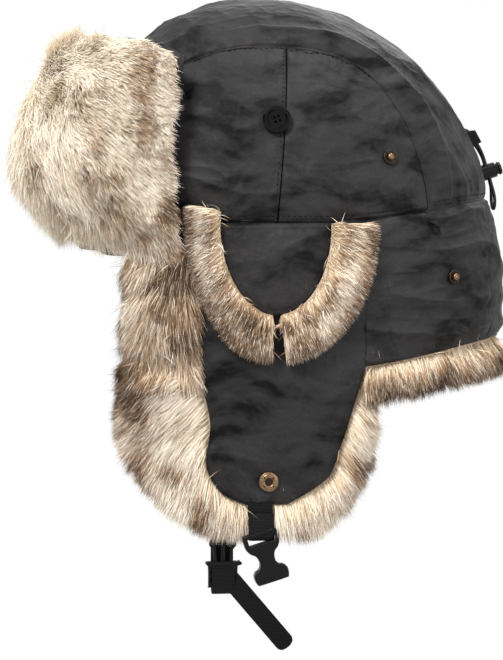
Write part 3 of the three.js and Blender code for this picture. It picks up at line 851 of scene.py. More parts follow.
def visor_cloth():
    u = np.linspace(-1, 1, 200)[None, :]
    v = np.linspace(0, 1, 90)[:, None]
    angle = np.radians(-90 + VISOR["angle"] * u) + 0 * v
    z = mix(edge_height(angle, BROW_Z + 1, TEMPLE_TOP + 3), visor_top(u) + 1, v)
    p = visor_point(angle, z, 1.0)
    seams = [p[-1], p[0], p[:, 0], p[:, -1]]
    panel("visor_cloth", p, seams, 14, "visor", ["visor_shell"], puff=1.2, thick=2.0, size=0.7)


def cover_grid(rows, columns, out):
    u = np.linspace(-1, 1, columns)[None, :]
    v = np.linspace(0, 1, rows)[:, None]
    half = np.maximum(COVER["half"] * np.sqrt(1 - v * v), 2.0)
    y = COVER["y"] + half * u
    z = COVER["top_z"] + 1.5 - v * (COVER["drop"] + 1.5) + 0 * u
    return points(fur_side_x(y, z) + out, y, z)


def ear_cover(name, side, seed):
    p = cover_grid(70, 90, 3.4)
    edge = np.concatenate([p[:, 0], p[-1], p[::-1, -1]])
    seams = [edge, p[0]]
    if side < 0:
        p = mirrored(p, -1)
        seams = [mirrored(line, -1) for line in seams]
    panel(
        f"ear_cover_{name}", p, seams, seed, f"ear_cover_{name}", [f"ear_cover_shell_{name}"], thick=2.2,
        size=0.8, depth=1.8,
    )


def lining():
    """The quilted inner dome."""
    rows, columns = 90, 240
    angle = np.linspace(0, 2 * math.pi, columns, endpoint=False)[None, :]
    rise = np.linspace(0, 1, rows)[:, None]
    z = mix(58.0, 216.0, np.sin(rise * math.pi / 2))
    p = oval(angle, z, 7.0)
    flat_angle = angle * 60 + 0 * rise
    across = rise * 170 + 0 * angle
    diamond = np.abs(np.sin((flat_angle + across) / 24)) * np.abs(np.sin((flat_angle - across) / 24))
    swell = 2.6 * np.sqrt(diamond) - 1.0
    normal = unit(p - np.array([0, -10, 90]))
    inner = p - normal * (swell + cloth_relief(p, 40, 0.35))[..., None]
    faces = grid_faces(rows, columns, ring=True)[:, ::-1]
    cap = np.arange((rows - 1) * columns, rows * columns)
    middle = inner[-1].mean(0)
    fan = np.stack([cap, np.roll(cap, -1), np.full(columns, rows * columns)], -1)
    vertices = np.concatenate([inner.reshape(-1, 3), middle[None]])
    obj = capped_object("quilted_lining", vertices, faces, [tuple(f[::-1]) for f in fan], LINING)
    thick = obj.modifiers.new("thick", "SOLIDIFY")
    thick.thickness = 1.2 * MM
    thick.offset = -1
    finish_piece(obj, "hat_body", ["crown_lining"])


def sweatband():
    rows, columns = 40, 300
    angle = np.linspace(0, 2 * math.pi, columns)[None, :]
    v = np.linspace(0, 1, rows)[:, None]
    p = oval(angle, mix(edge_height(angle, BROW_Z + 2, 1, half=44, over=10), 66, v), 7.6)
    normal = unit(p * np.array([1, 1, 0]))
    swell = 1.6 * np.sqrt(np.abs(np.sin(v * math.pi))) + 0 * angle + cloth_relief(p, 44, 0.4)
    inner = p - normal * swell[..., None]
    vertices, faces = closed(inner, p + normal * 0.6)
    obj = mesh_object("sweatband_cloth", vertices, faces[:, ::-1], LINING)
    finish_piece(obj, "hat_body", ["sweatband"])


for index, (name, side) in enumerate(SIDES):
    side_cloth(name, side, 5 + index)
    ear_cover(name, side, 7 + index)
neck_cloth()
forehead_cloth()
visor_cloth()
lining()
sweatband()

# ---- Faux fur: single strands over a skin of the same colours ----

RANDOM = np.random.default_rng(7)


def sample_grid(p, normal, count, weight=None):
    """Random points of a grid, evenly by area, with their normals and their place in the grid."""
    a, b, c, d = p[:-1, :-1], p[:-1, 1:], p[1:, 1:], p[1:, :-1]
    area = np.linalg.norm(np.cross(c - a, d - b), axis=-1) / 2
    if weight is not None:
        area = area * weight
    share = area.ravel() / area.sum()
    cell = RANDOM.choice(len(share), count, p=share)
    j, i = np.divmod(cell, p.shape[1] - 1)
    s, t = RANDOM.random((2, count, 1))

    def at(field):
        low = field[j, i] * (1 - s) + field[j, i + 1] * s
        high = field[j + 1, i] * (1 - s) + field[j + 1, i + 1] * s
        return low * (1 - t) + high * t

    place = np.stack([(i + s[:, 0]) / (p.shape[1] - 1), (j + t[:, 0]) / (p.shape[0] - 1)], -1)
    return at(p), unit(at(normal)), place


def clump(roots, tips, size, pull):
    """Draws the tips of neighbouring strands together into locks."""
    jitter = np.stack([noise(roots, size * 1.3, 60 + k) for k in range(3)], -1) * size * 0.5
    cell = np.floor((roots + jitter) / size).astype(np.int64)
    key = cell[:, 0] * 73856093 ^ cell[:, 1] * 19349663 ^ cell[:, 2] * 83492791
    order, inverse = np.unique(key, return_inverse=True)
    weight = np.bincount(inverse, minlength=len(order))
    centre = np.stack([np.bincount(inverse, tips[:, k], len(order)) / weight for k in range(3)], -1)
    return tips + (centre[inverse] - tips) * pull[:, None]


def fur_mesh(name, roots, normal, comb, length, lift, tone, skin, body, nodes, width=0.5, droop=0.35,
             messy=0.4, lock=5.0, pull=0.5):
    """Strands as narrow tapered ribbons of three segments, joined with the skin that they grow from."""
    count = len(roots)
    field = np.stack([noise(roots, 16, 80 + k) + 0.6 * noise(roots, 6, 84 + k) for k in range(3)], -1)
    stray = RANDOM.normal(0, 1, (count, 3))
    wild = (RANDOM.random(count) < 0.035)[:, None]
    comb = unit(comb + messy * field + (0.16 + 0.5 * wild) * stray)
    start = unit(normal * lift[:, None] + comb * (1 - lift)[:, None])
    end = unit(comb + normal * 0.1 + np.array([0, 0, -droop]))
    bend = roots + start * (length * 0.45)[:, None]
    tips = bend + end * (length * 0.58)[:, None]
    loose = RANDOM.random(count)
    tips = clump(roots, tips, lock, pull * np.where(wild[:, 0], 0.1, 0.35 + 0.65 * loose))
    rows = []
    for t in (0.0, 0.36, 0.7, 1.0):
        rows.append(roots * (1 - t) ** 2 + bend * 2 * t * (1 - t) + tips * t * t)
    turn = RANDOM.normal(0, 0.5, count)[:, None]
    ahead = unit(tips - roots)
    across = unit(np.cross(ahead, normal) + 1e-6)
    across = across * np.cos(turn) + normal * np.sin(turn)
    thick = width * (0.7 + 0.6 * RANDOM.random(count))[:, None] / 2
    verts = np.empty((count, 7, 3))
    for k, share in enumerate((1.0, 0.9, 0.55)):
        verts[:, 2 * k] = rows[k] - across * thick * share
        verts[:, 2 * k + 1] = rows[k] + across * thick * share
    verts[:, 6] = rows[3]
    base = (np.arange(count) * 7)[:, None]
    loops = (base + np.array([0, 1, 3, 2, 2, 3, 5, 4, 4, 5, 6])[None]).ravel()
    along = np.array([0, 0, 0.36, 0.36, 0.36, 0.36, 0.7, 0.7, 0.7, 0.7, 1.0])
    starts = (np.arange(count) * 11)[:, None] + np.array([0, 4, 8])[None]
    totals = np.tile([4, 4, 3], count)
    uv = np.stack([np.repeat(np.clip(tone, 0.01, 0.99), 11), np.tile(along, count)], -1)
    skin_vertices, skin_faces, skin_tone = skin
    # Painted shade: the skin takes the hair colour near the root, darker than the middle of the strands, for
    # the shade deep in the pile.
    skin_uv = np.stack([skin_tone[skin_faces.ravel()], np.full(skin_faces.size, 0.15)], -1)
    vertices = np.concatenate([verts.reshape(-1, 3), skin_vertices])
    starts = np.concatenate([starts.ravel(), len(loops) + np.arange(len(skin_faces)) * 4])
    loops = np.concatenate([loops, (skin_faces + count * 7).ravel()])
    totals = np.concatenate([totals, np.full(len(skin_faces), 4)])
    uv = np.concatenate([uv, skin_uv])
    mesh = bpy.data.meshes.new(name)
    mesh.vertices.add(len(vertices))
    mesh.vertices.foreach_set("co", (vertices * MM).ravel())
    mesh.loops.add(len(loops))
    mesh.loops.foreach_set("vertex_index", loops)
    mesh.polygons.add(len(starts))
    mesh.polygons.foreach_set("loop_start", starts)
    mesh.polygons.foreach_set("loop_total", totals)
    mesh.polygons.foreach_set("use_smooth", [True] * len(starts))
    layer = mesh.uv_layers.new(name="OFBake")
    layer.data.foreach_set("uv", np.clip(uv, 0.005, 0.995).ravel())
    mesh.materials.append(FUR)
    mesh.update()
    mesh.validate()
    return finish_piece(linked(name, mesh), body, nodes)


def pad_skin(outer, inner, tone_of):
    """A closed skin from two grids that share their rim."""
    vertices, faces = closed(outer, inner)
    return vertices, faces, np.clip(tone_of(vertices), 0.02, 0.98)


def fur_tone(p, base, spread=0.3, seed=70):
    """How dark the fur is at a place: broad shades, and brown patches with soft edges."""
    broad = noise(p * np.array([1, 1, 0.7]), 26, seed) * 0.7 + noise(p, 11, seed + 1) * 0.4
    patch = smooth((noise(p * np.array([1.2, 1.2, 0.75]), 17, seed + 2) - 0.22) / 0.3)
    return base + spread * (broad + 1.1 * patch)


def strand_tone(p, base, spread=0.3, seed=70):
    tone = fur_tone(p, base, spread, seed) + RANDOM.normal(0, 0.13, len(p))
    dark = RANDOM.random(len(p)) < 0.10
    light = RANDOM.random(len(p)) < 0.16
    tone = np.where(dark, tone + 0.35, tone)
    return np.clip(np.where(light, tone * 0.35, tone), 0.01, 0.99)


def varied(count, low, high):
    return low + (high - low) * RANDOM.random(count) ** 0.8


VISOR_PROFILE_Z = [70, 73, 78, 86, 95, 106, 120, 135, 152, 175, 195, 204.5]
VISOR_PROFILE = [0, 1, 4, 11, 17, 21.5, 23.5, 22.5, 20, 17.5, 11.5, 0]


def visor_fur():
    rows, columns = 40, 90
    u = np.linspace(-1, 1, columns)[None, :]
    v = np.linspace(-1, 1, rows)[:, None]
    angle = np.radians(-90 + VISOR["angle"] * 0.965 * u) + 0 * v
    low = 79 - 19 * np.abs(u) ** 1.5
    z = mix(low, visor_top(u), (v + 1) / 2)
    level = mix(70, 204.5, (v + 1) / 2) + 0 * u
    depth = np.interp(level, VISOR_PROFILE_Z, VISOR_PROFILE) * (1 - 0.5 * np.abs(u) ** 3)
    depth = depth * np.sqrt(1 - 0.98 * np.abs(u) ** 10)
    outer = visor_point(angle, z, CLOTH + 0.6 + depth)
    inner = visor_point(angle, z, CLOTH + 0.3 + 0 * depth)
    normal = grid_normals(outer)
    if (normal * (outer - np.array([0, -60, 137]))).sum() < 0:
        normal = -normal
    weight = 1 + 1.6 * np.abs(u[:, 1:]) ** 6 + 1.2 * np.abs(v[1:]) ** 6

    def tone_of(p):
        toward_end = smooth((np.abs(p[:, 0]) - 40) / 60)
        low = smooth((110 - p[:, 2]) / 50)
        return fur_tone(p, 0.06 + 0.2 * toward_end + 0.08 * low, 0.26)

    roots, up, place = sample_grid(outer, normal, 84000, weight)
    away_u, away_v = place[:, 0] * 2 - 1, place[:, 1] * 2 - 1
    outward = np.clip(away_u * 2.5, -1, 1)
    sideways = np.stack([outward, 0.85 * np.abs(away_u) ** 0.8, -0.1 + 0 * away_u], -1)
    rise = np.where(away_v > 0, away_v * 0.4, away_v * 0.6) - 0.25
    comb = sideways * (0.35 + 0.65 * np.abs(away_u)[:, None]) + np.array([0, 0, 1.0]) * rise[:, None]
    comb = unit(comb + np.array([0, 0, -0.25]) * (np.abs(away_u) ** 4)[:, None])
    toward_end = smooth((np.abs(roots[:, 0]) - 35) / 60)
    low = smooth((110 - roots[:, 2]) / 50)
    edge = smooth((np.abs(away_u) - 0.9) / 0.1) * 0.35 * (0.5 + noise(roots, 15, 99))
    tone = strand_tone(roots, 0.0 + 0.22 * toward_end + 0.10 * low + edge, 0.27)
    shorter = (1 - 0.3 * np.abs(away_u) ** 4) * (1 - 0.35 * np.clip(away_v, 0, 1) ** 3)
    length = varied(len(roots), 12, 22) * shorter
    rim = np.maximum(np.abs(away_u), np.abs(away_v))
    lift = 0.6 - 0.28 * rim + 0.12 * RANDOM.random(len(roots))
    fur_mesh("visor_pile", roots, up, comb, length, lift, tone, pad_skin(outer, inner, tone_of), "visor",
             ["visor_fur"], width=0.44, droop=0.2, messy=0.5, lock=6.0, pull=0.45)


def flap_fur_grid(rows, columns, tuck):
    """The fur pad of an ear flap on the left: its outer face and its inner face."""
    w = np.linspace(0, 1, rows)
    front, rear = spline(FUR_FRONT, w), spline(FUR_REAR, w)
    front[:, 0] += tuck
    rear[:, 0] -= 9
    front[:, 1] += 11 * w**2
    rear[:, 1] += 11 * w**2
    u = np.linspace(0, 1, columns)[None, :, None]
    yz = mix(front[:, None], rear[:, None], u)
    across = np.linspace(-1, 1, columns)[None, :]
    down = np.linspace(0, 1, rows)[:, None]
    round_off = rounding(across, 5) * rounding(down, 9)
    y, z = yz[..., 0], yz[..., 1] + 6 * down**6
    outer = points(flap_x(y, z) - 8.5 + 4.2 * round_off, y, z)
    inner = points(flap_x(y, z) - 8.5 - 5 * round_off, y, z)
    return outer, inner


def turned_out(grid, away_from):
    normal = grid_normals(grid)
    return normal if ((grid - np.array(away_from)) * normal).sum() > 0 else -normal


def rounding(t, power):
    """How far a pad bows out across its width, for t from -1 to 1."""
    return np.sqrt(np.clip(1 - np.abs(t) ** power, 0, 1))


def sided_fur(name, side, roots, up, comb, length, lift, tone, skin, *rest, **style):
    """A pile worked out on the left and mirrored when it belongs on the right."""
    vertices, faces, skin_tone = skin
    roots, up, comb, vertices = (mirrored(field, side) for field in (roots, up, comb, vertices))
    skin = vertices, faces[:, ::side], skin_tone
    fur_mesh(name, roots, up, comb, length, lift, tone, skin, *rest, **style)


def both_sides(outer, inner, away_from, outer_count, inner_count, weight=None, inner_weight=None, shown=None):
    """Roots and normals on both faces of a pad; shown tells which roots of the outer face are kept."""
    roots, up, place = sample_grid(outer, turned_out(outer, away_from), outer_count, weight)
    if shown:
        kept = shown(roots)
        roots, up, place = roots[kept], up[kept], place[kept]
    more = sample_grid(inner, -turned_out(inner, away_from), inner_count, inner_weight)
    joined = [np.concatenate(pair) for pair in zip((roots, up, place), more)]
    return *joined, len(roots)


def flap_comb(roots):
    """Hair on a flap lies down and outward, away from the nylon."""
    middle = np.array([-32.0, -40.0])
    away = roots[:, 1:] - middle
    away = away / np.maximum(np.linalg.norm(away, axis=1, keepdims=True), 1e-6)
    return unit(np.stack([0 * away[:, 0], away[:, 0] * 0.75, away[:, 1] * 0.5 - 0.65], -1))


def flap_tone(p):
    bottom = smooth((-70 - p[:, 2]) / 40)
    middle = smooth((-20 - p[:, 1]) / 60)
    return 0.27 + 0.02 * middle + 0.02 * bottom


def under_nylon(roots, margin):
    """True where a point lies behind the flap's nylon."""
    t = np.linspace(0, 1, 200)
    front, rear = spline(FLAP_FRONT, t), spline(FLAP_REAR, t)
    z = roots[:, 2]
    first = np.interp(-z, -front[:, 1], front[:, 0]) + margin
    last = np.interp(-z, -rear[:, 1], rear[:, 0]) - margin
    return (roots[:, 1] > first) & (roots[:, 1] < last) & (z > FLAP_FRONT[-1][1] + margin)


def ear_flap_fur(name, side):
    outer, inner = flap_fur_grid(50, 60, 12 if side > 0 else 22)
    uu = np.linspace(-1, 1, 59)[None, :]
    vv = np.linspace(0, 1, 49)[:, None]
    rim = np.clip(np.abs(uu) ** 2 + vv**2, 0, 1)
    weight = 0.3 + rim * 1.2 + 2.0 * np.abs(uu) ** 8

    def shown(p):
        by_strap = (np.abs(p[:, 1] - STRAP["y"]) < 9.5) & (p[:, 2] < -80)
        return ~under_nylon(p, 1.0) & ~by_strap

    roots, up, _, split = both_sides(outer, inner, (0, -30, -60), 60000, 16000, weight, 0.7 + rim, shown)
    comb = flap_comb(roots)
    tone = strand_tone(roots, flap_tone(roots), 0.32, 90)
    length = varied(len(roots), 13, 24)
    length[split:] *= 0.8
    lift = 0.30 + 0.2 * RANDOM.random(len(roots))

    def tone_of(p):
        return fur_tone(p, flap_tone(p), 0.3, 90)

    skin = pad_skin(outer, inner, tone_of)
    sided_fur(f"ear_flap_pile_{name}", side, roots, up, comb, length, lift, tone, skin, f"ear_flap_{name}",
              [f"ear_flap_fur_{name}"], messy=0.34, lock=5.5)


def temple_fur(name, side):
    rows, columns = 30, 24
    u = np.linspace(0, 1, columns)[None, :]
    v = np.linspace(0, 1, rows)[:, None]
    y = mix(-110 if side > 0 else -100, -80, u) + 0 * v
    z = mix(-14, 68, v) + 0 * u
    bow = rounding(2 * u - 1, 4) + 0 * v
    x = fur_side_x(y, z)
    outer, inner = points(x - 3 + 4 * bow, y, z), points(x - 3 - 3 * bow, y, z)
    roots, up, _, _ = both_sides(outer, inner, (0, -95, 20), 13000, 5000)
    lean = (roots[:, 1] + 92) / 22
    comb = unit(np.stack([0 * lean, lean * 0.6, -0.9 + 0 * lean], -1))
    length = varied(len(roots), 14, 25)
    lift = 0.30 + 0.2 * RANDOM.random(len(roots))

    def base_tone(p):
        return 0.40 + 0.14 * smooth((p[:, 1] + 105) / 25)

    def tone_of(p):
        return fur_tone(p, base_tone(p), 0.3, 90)

    tone = strand_tone(roots, base_tone(roots), 0.42, 90)
    skin = pad_skin(outer, inner, tone_of)
    sided_fur(f"temple_pile_{name}", side, roots, up, comb, length, lift, tone, skin, "hat_body",
              [f"temple_fur_{name}"], lock=5.5)


def neck_fur():
    rows, columns = 26, 150
    angle = np.radians(np.linspace(11, 169, columns))[None, :]
    v = np.linspace(0, 1, rows)[:, None]
    z = mix(neck_hem(angle) - 14, 6.0, v)
    bow = rounding(2 * v - 1, 5) + 0 * angle
    outer = oval(angle, z, 7.6 - 3.4 * bow)
    inner = oval(angle, z, 7.6 + 3.6 * bow)
    by_row = 0.3 + 2.2 * smooth((0.75 - np.linspace(0, 1, rows - 1)) / 0.3)
    weight = by_row[:, None] * np.ones((1, columns - 1))

    def below_hem(p):
        return p[:, 2] < neck_hem(oval_angle(p)) - 0.5

    roots, up, _, _ = both_sides(outer, inner, (0, 0, 0), 34000, 12000, weight, shown=below_hem)
    outward = unit(roots * np.array([1, 1, 0]))
    comb = unit(outward * 0.35 + np.array([0, 0, -1.0]))
    length = varied(len(roots), 10, 19)
    lift = 0.25 + 0.2 * RANDOM.random(len(roots))

    def tone_of(p):
        return fur_tone(p, 0.62, 0.3, 95)

    hang = smooth((neck_hem(oval_angle(roots)) - 2 - roots[:, 2]) / 10)
    tone = strand_tone(roots, 0.5 + 0.24 * hang, 0.36, 95)
    fur_mesh("neck_pile", roots, up, comb, length, lift, tone, pad_skin(outer, inner, tone_of), "hat_body",
             ["neck_flap_fur"], droop=0.3)


def cover_fur(name, side, part, first, last, reach):
    rows, columns = 14, 40
    angle = np.radians(np.linspace(first, last, columns))[None, :]
    v = np.linspace(0, 1, rows)[:, None]
    across = mix(COVER["half"] - 1.5, reach - 7, v)
    down = mix(COVER["drop"] - 1.5, COVER["fur_drop"] - 7, v)
    y = COVER["y"] - across * np.cos(angle)
    z = COVER["top_z"] - down * np.sin(angle)
    bow = rounding(2 * v - 1, 4) + 0 * angle
    x = fur_side_x(y, z)
    outer, inner = points(x + 3.6 + 3.4 * bow, y, z), points(x + 3.6 - 1.8 * bow, y, z)
    roots, up, place, split = both_sides(outer, inner, (0, COVER["y"], 40), 19000, 6000)
    flow = np.radians(mix(first, last, place[:, 0]))
    comb = unit(np.stack([0 * flow, -np.cos(flow), -np.sin(flow) - 0.06], -1))
    length = varied(len(roots), 10, 16) * (1.05 - 0.25 * place[:, 1])
    length[split:] *= 0.6
    lift = 0.34 + 0.18 * RANDOM.random(len(roots))
    base = 0.44 if part == "front" else 0.34

    def tone_of(p):
        return fur_tone(p, base + 0.1, 0.3, 97)

    by_nylon, by_rim = smooth((0.3 - place[:, 1]) / 0.3), smooth((place[:, 1] - 0.45) / 0.4)
    tone = strand_tone(roots, base + 0.3 * by_nylon + 0.34 * by_rim, 0.32, 97)
    skin = pad_skin(outer, inner, tone_of)
    sided_fur(f"ear_cover_pile_{part}_{name}", side, roots, up, comb, length, lift, tone, skin,
              f"ear_cover_{name}", [f"ear_cover_fur_{part}_{name}"], droop=0.3, messy=0.3, lock=4.5)


visor_fur()
neck_fur()
for name, side in SIDES:
    ear_flap_fur(name, side)
    temple_fur(name, side)
    cover_fur(name, side, "front", -9, 85, COVER["fur_front"])
    cover_fur(name, side, "rear", 181, 95, COVER["fur_rear"])

# ---- Chin straps and buckles ----

STRAP_X = float(flap_x(STRAP["y"], STRAP["top"])) - 1.0


def webbing(name, path, across, body, width=None, round_end=0.0):
    """A flat woven strap along a path, with a soft edge."""
    width = width or STRAP["width"]
    line = resample(spline(path, np.linspace(0, 1, 300)), max(int(lengths(path)[-1] / 0.7), 12))
    across = unit(np.array(across, float))
    ahead = unit(np.gradient(line, axis=0))
    up = unit(np.cross(ahead, across))
    left = lengths(line)[-1] - lengths(line)
    half = np.full((len(line), 1), width / 2)
    if round_end:
        short = np.clip(1 - left / round_end, 0, 1)
        half = half - round_end * (1 - np.sqrt(1 - short[:, None] ** 2)) * 0.98
    turn = np.linspace(0, 2 * math.pi, 24, endpoint=False)
    c, s = np.cos(turn), np.sin(turn)
    wide = np.sign(c) * np.abs(c) ** 0.35
    tall = np.sign(s) * np.abs(s) ** 0.6
    flat = up[:, None] * (STRAP["thick"] / 2 * tall)[:, None]
    ring = line[:, None] + across * (half * wide)[..., None] + flat
    rows, columns = ring.shape[:2]
    faces = grid_faces(rows, columns, ring=True)
    start, end = ring[0].mean(0), ring[-1].mean(0)
    vertices = np.concatenate([ring.reshape(-1, 3), [start, end]])
    caps, far = [], (rows - 1) * columns
    for i in range(columns):
        j = (i + 1) % columns
        caps += [(rows * columns, j, i), (rows * columns + 1, far + i, far + j)]
    return finish_piece(capped_object(name, vertices, faces, caps, WEBBING), body)


def moulded(name, outline, thick, holes, origin, tilt, body, nodes, bevel=0.7):
    """A moulded plastic piece: a flat outline in (y, z) with holes, thickened along x and rounded."""
    curve = bpy.data.curves.new(name, "CURVE")
    curve.dimensions = "2D"
    curve.fill_mode = "BOTH"
    curve.extrude = (thick / 2 - bevel) * MM
    curve.bevel_depth = bevel * MM
    curve.bevel_resolution = 3
    curve.offset = -bevel * MM
    for ring in [outline, *holes]:
        track = curve.splines.new("POLY")
        track.points.add(len(ring) - 1)
        for point, (y, z) in zip(track.points, ring):
            point.co = (y * MM, z * MM, 0, 1)
        track.use_cyclic_u = True
    temporary = linked(name, curve)
    mesh = bpy.data.meshes.new_from_object(temporary.evaluated_get(bpy.context.evaluated_depsgraph_get()))
    bpy.data.objects.remove(temporary)
    bpy.data.curves.remove(curve)
    place = Matrix.Translation(Vector(origin) * MM) @ Matrix.Rotation(math.radians(tilt), 4, "X")
    mesh.transform(place @ Matrix(((0, 0, 1, 0), (1, 0, 0, 0), (0, 1, 0, 0), (0, 0, 0, 1))))
    mesh.materials.clear()
    mesh.materials.append(PLASTIC)
    mesh.polygons.foreach_set("use_smooth", [False] * len(mesh.polygons))
    mesh.name = name
    return finish_piece(linked(name, mesh), body, nodes)


def rounded(outline, count=90):
    """A closed outline smoothed through its corners."""
    closed = np.array([*outline, outline[0]], float)
    return [tuple(p) for p in resample(spline(closed, np.linspace(0, 1, 600)), count)[:-1]]


def both_halves(half):
    """An outline from the half of it at positive y."""
    return half + [(-y, z) for y, z in reversed(half)]


STRAP_ACROSS = (0, 1, 0)


def strap_path(x, steps):
    """Points of a strap, from its (outward, down) steps from the place where it is sewn on."""
    return [(x + out, STRAP["y"], STRAP["top"] - down) for out, down in steps]


def left_strap():
    loop = [(0, -2), (0, 6), (0, 14), (0.3, 19.5), (2.4, 21.6), (4.5, 19.5), (4.8, 15), (4.2, 10), (1.7, 5)]
    strap = webbing("webbing_left", strap_path(STRAP_X, loop), STRAP_ACROSS, "chin_strap_left")
    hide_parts("strap_left")
    half = [
        (6.5, 5.8), (9.6, 5.9), (11.2, 4.6), (11.3, 1.5), (10.9, -3.2), (9.2, -6.2), (6.4, -8.6),
        (5.2, -11.5), (5.1, -14.6), (6.7, -17.3), (9.6, -18.7), (11, -20.9), (11, -24.0), (10.2, -26.6),
        (8.2, -27.2),
    ]
    slot = [(-8.3, 3.2), (8.3, 3.2), (8.3, -1.6), (-8.3, -1.6)]
    socket = (STRAP_X + 2.4, STRAP["y"], STRAP["top"] - 22)
    body = rounded(both_halves(half), 160)
    moulded("female_buckle", body, 7.4, [slot], socket, 17, "buckle_female", ["buckle_socket"], 0.9)
    lip = [(9.4, -25.0), (9.4, -26.0), (-9.4, -26.0), (-9.4, -25.0)]
    moulded("female_buckle_lip", lip, 8.2, [], socket, 17, "buckle_female", [], 0.2)


def right_strap():
    x = -STRAP_X
    turned = [
        (0, -2), (0, 30), (0, 60), (0.2, 78), (1.4, 83.2), (4.2, 85.6), (7.2, 83.2), (8.2, 78), (8.0, 71),
        (5.8, 67.6), (3.0, 66.8),
    ]
    strap = webbing("webbing_right", strap_path(x, turned), STRAP_ACROSS, "chin_strap_right")
    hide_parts("strap_right")
    lean = math.radians(40)
    ahead = np.array([0, math.sin(lean), -math.cos(lean)])
    start = np.array([x + 6.4, STRAP["y"] + 3.0, STRAP["top"] - 73])
    droop = [(0, -2.4), (8, 0.6), (18, 2.2), (34, 1.6), (50, 0.4), (67, 1.4)]
    tail = [start + ahead * along + np.array([out, 0, 0]) for along, out in droop]
    across = (0, math.cos(lean), math.sin(lean))
    webbing("webbing_tail", tail, across, "chin_strap_right", 13.5, 5.0)


def male_buckle():
    place = (-STRAP_X + 4.4, STRAP["y"], STRAP["top"] - 64)
    frame_line = [
        (-10.6, -0.2), (-10.2, 0.6), (10.2, 0.6), (10.6, -0.2), (10.3, -8), (10.3, -16.4), (9.4, -17.2),
        (-9.4, -17.2), (-10.3, -16.4), (-10.3, -8),
    ]
    bars = ((-3.6, -7.2), (-10.2, -14.0))
    slots = [[(-8.4, top), (8.4, top), (8.4, low), (-8.4, low)] for top, low in bars]
    bar = [(-10.9, -2.2), (-10.9, 0.9), (10.9, 0.9), (10.9, -2.2)]
    prong = [(-1.6, 0.5), (-1.5, 16), (-1.1, 21), (0, 22), (1.1, 21), (1.5, 16), (1.6, 0.5)]
    arm = [
        (4.3, 0.6), (6.2, 0.6), (6.7, 5), (7.2, 9), (9.5, 12), (9.3, 15), (8.0, 18.2), (6.4, 19.4), (5.3, 18),
        (5.0, 14), (5.0, 9),
    ]
    other = [(-y, z) for y, z in reversed(arm)]
    for name, line, count, thick, holes, body, nodes, bevel in (
        ("male_buckle_frame", frame_line, 120, 3.6, slots, "buckle_male", ["buckle_plug"], 0.6),
        ("male_buckle_crossbar", bar, 60, 5.4, [], "buckle_male", [], 0.7),
        ("male_buckle_prong", prong, 60, 2.4, [], "buckle_male", [], 0.4),
        ("buckle_arm_back", arm, 90, 3.0, [], "buckle_prong_rear", ["buckle_arm_rear"], 0.5),
        ("buckle_arm_fore", other, 90, 3.0, [], "buckle_prong_front", ["buckle_arm_front"], 0.5),
    ):
        moulded(name, rounded(line, count), thick, holes, place, 0, body, nodes, bevel)


def button_thread(name, side):
    """The crossed thread that holds a button on."""
    y, z = BUTTON_PLACE
    centre = np.array([float(side_x(y, z)), y, z])
    near = np.array([float(side_x(y + 1, z)) - float(side_x(y - 1, z)), 2, 0])
    rise = np.array([float(side_x(y, z + 1)) - float(side_x(y, z - 1)), 0, 2])
    out = unit(np.cross(near, rise))
    out = out if out[0] > 0 else -out
    a, b = unit(near + rise), unit(near - rise)
    lines = [np.array([centre + out * 2.5 - d * 2.3, centre + out * 2.5 + d * 2.3]) for d in (a, b)]
    for k, line in enumerate(lines):
        flip = np.array([side, 1, 1])
        ups = np.array([out, out]) * flip
        stitches(f"button_thread_{name}_{k}", line * flip, ups, "hat_body", pitch=50, length=3.4, radius=0.42)


left_strap()
right_strap()
male_buckle()
for name, side in SIDES:
    button_thread(name, side)

# ---- Snap studs and sockets ----


def lathe(name, profile, base, axis, material, body, nodes=()):
    """A round piece turned about an axis, from a profile of (radius, height) pairs."""
    axis = unit(np.array(axis, float))
    aside = unit(np.cross(axis, (0, 0, 1.0)))
    above = np.cross(axis, aside)
    turn = np.linspace(0, 2 * math.pi, 48, endpoint=False)
    around = np.cos(turn)[:, None] * aside + np.sin(turn)[:, None] * above
    rings = np.array([base + around * r + axis * h for r, h in profile])
    faces = grid_faces(len(profile), 48, ring=True)
    obj = mesh_object(name, rings.reshape(-1, 3), faces[:, ::-1], material)
    return finish_piece(obj, body, nodes)


def snap_seat(node_name):
    """Where a snap sits and which way it faces, read off its own solid."""
    shape = frame["nodes"][node_name]
    corners = np.array([tuple(shape.matrix_world @ v.co) for v in shape.data.vertices]) / MM
    centre = corners.mean(0)
    thin = np.linalg.svd(corners - centre, full_matrices=False)[2][2]
    outward = thin if thin @ (centre - np.array([0, 0, 40.0])) > 0 else -thin
    base = centre + outward * ((corners - centre) @ outward).min()
    return base, outward


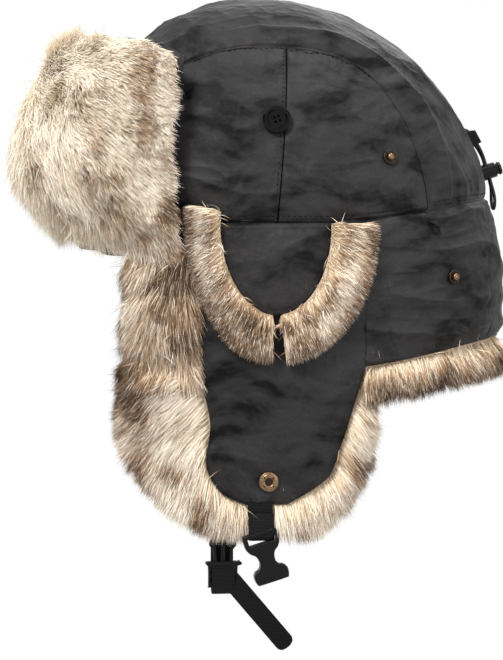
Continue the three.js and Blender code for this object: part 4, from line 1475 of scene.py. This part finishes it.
def snap_stud(node_name):
    base, outward = snap_seat(node_name)
    rim = [(2.4, 0.9), (3.0, 0.8), (3.5, 1.4), (4.1, 1.6), (4.6, 1.3), (4.7, 0.5), (4.5, 0)]
    dome = [(0.01, 3.9), (0.8, 3.8), (1.5, 3.5), (2.1, 3.0), (2.3, 2.4), (2.1, 1.8), (2.0, 0.8)]
    lathe(f"{node_name}_dome", dome, base, outward, BRASS, "hat_body", [node_name])
    # The rim and its groove take the darker brass: painted shade.
    lathe(f"{node_name}_rim", rim, base, outward, BRASS_SHADED, "hat_body")


def snap_socket(name):
    base, outward = snap_seat(f"snap_socket_{name}")
    ring = [(2.1, 0.2), (2.2, 1.0), (2.6, 1.7), (3.2, 2.1), (4.0, 2.2), (4.8, 1.9), (5.2, 1.5), (5.6, 1.5)]
    ring += [(6.0, 1.2), (6.4, 0.8), (6.5, 0.2), (6.4, 0)]
    lathe(f"socket_ring_{name}", ring, base, outward, BRASS, f"ear_flap_{name}", [f"snap_socket_{name}"])
    # The well and the pits take the darker brass: painted shade in the hollows.
    well = [(0.01, 0.5), (1.2, 0.5), (2.3, 0.3)]
    lathe(f"socket_well_{name}", well, base, outward, BRASS_SHADED, f"ear_flap_{name}")
    aside = unit(np.cross(outward, (0, 0, 1.0)))
    above = np.cross(outward, aside)
    for k in range(4):
        turn = (k + 0.5) * math.pi / 2
        spot = base + (math.cos(turn) * aside + math.sin(turn) * above) * 3.9 + outward * 1.9
        pit = [(0.01, 0.36), (0.5, 0.3), (0.75, 0.1)]
        lathe(f"socket_pit_{k}_{name}", pit, spot, outward, BRASS_SHADED, f"ear_flap_{name}")


for name, side in SIDES:
    snap_stud(f"crown_snap_stud_{name}")
    snap_stud(f"neck_snap_stud_{name}")
    snap_socket(name)
snap_stud("back_snap_stud")

# ---- Finishes of the hardware that stays as it is in the CAD model ----

FINISHES = {
    "nylon": NYLON, "lining": LINING, "faux_fur": FUR, "antique_brass": BRASS, "black_plastic": PLASTIC,
    "webbing": WEBBING, "gloss_button": GLOSS, "elastic": ELASTIC,
}
for part in frame["record"]["subparts"]:
    shape = frame["nodes"][part["node"]]
    finish = FINISHES[part["material_slot"]]
    shape.data.materials.clear()
    shape.data.materials.append(finish)
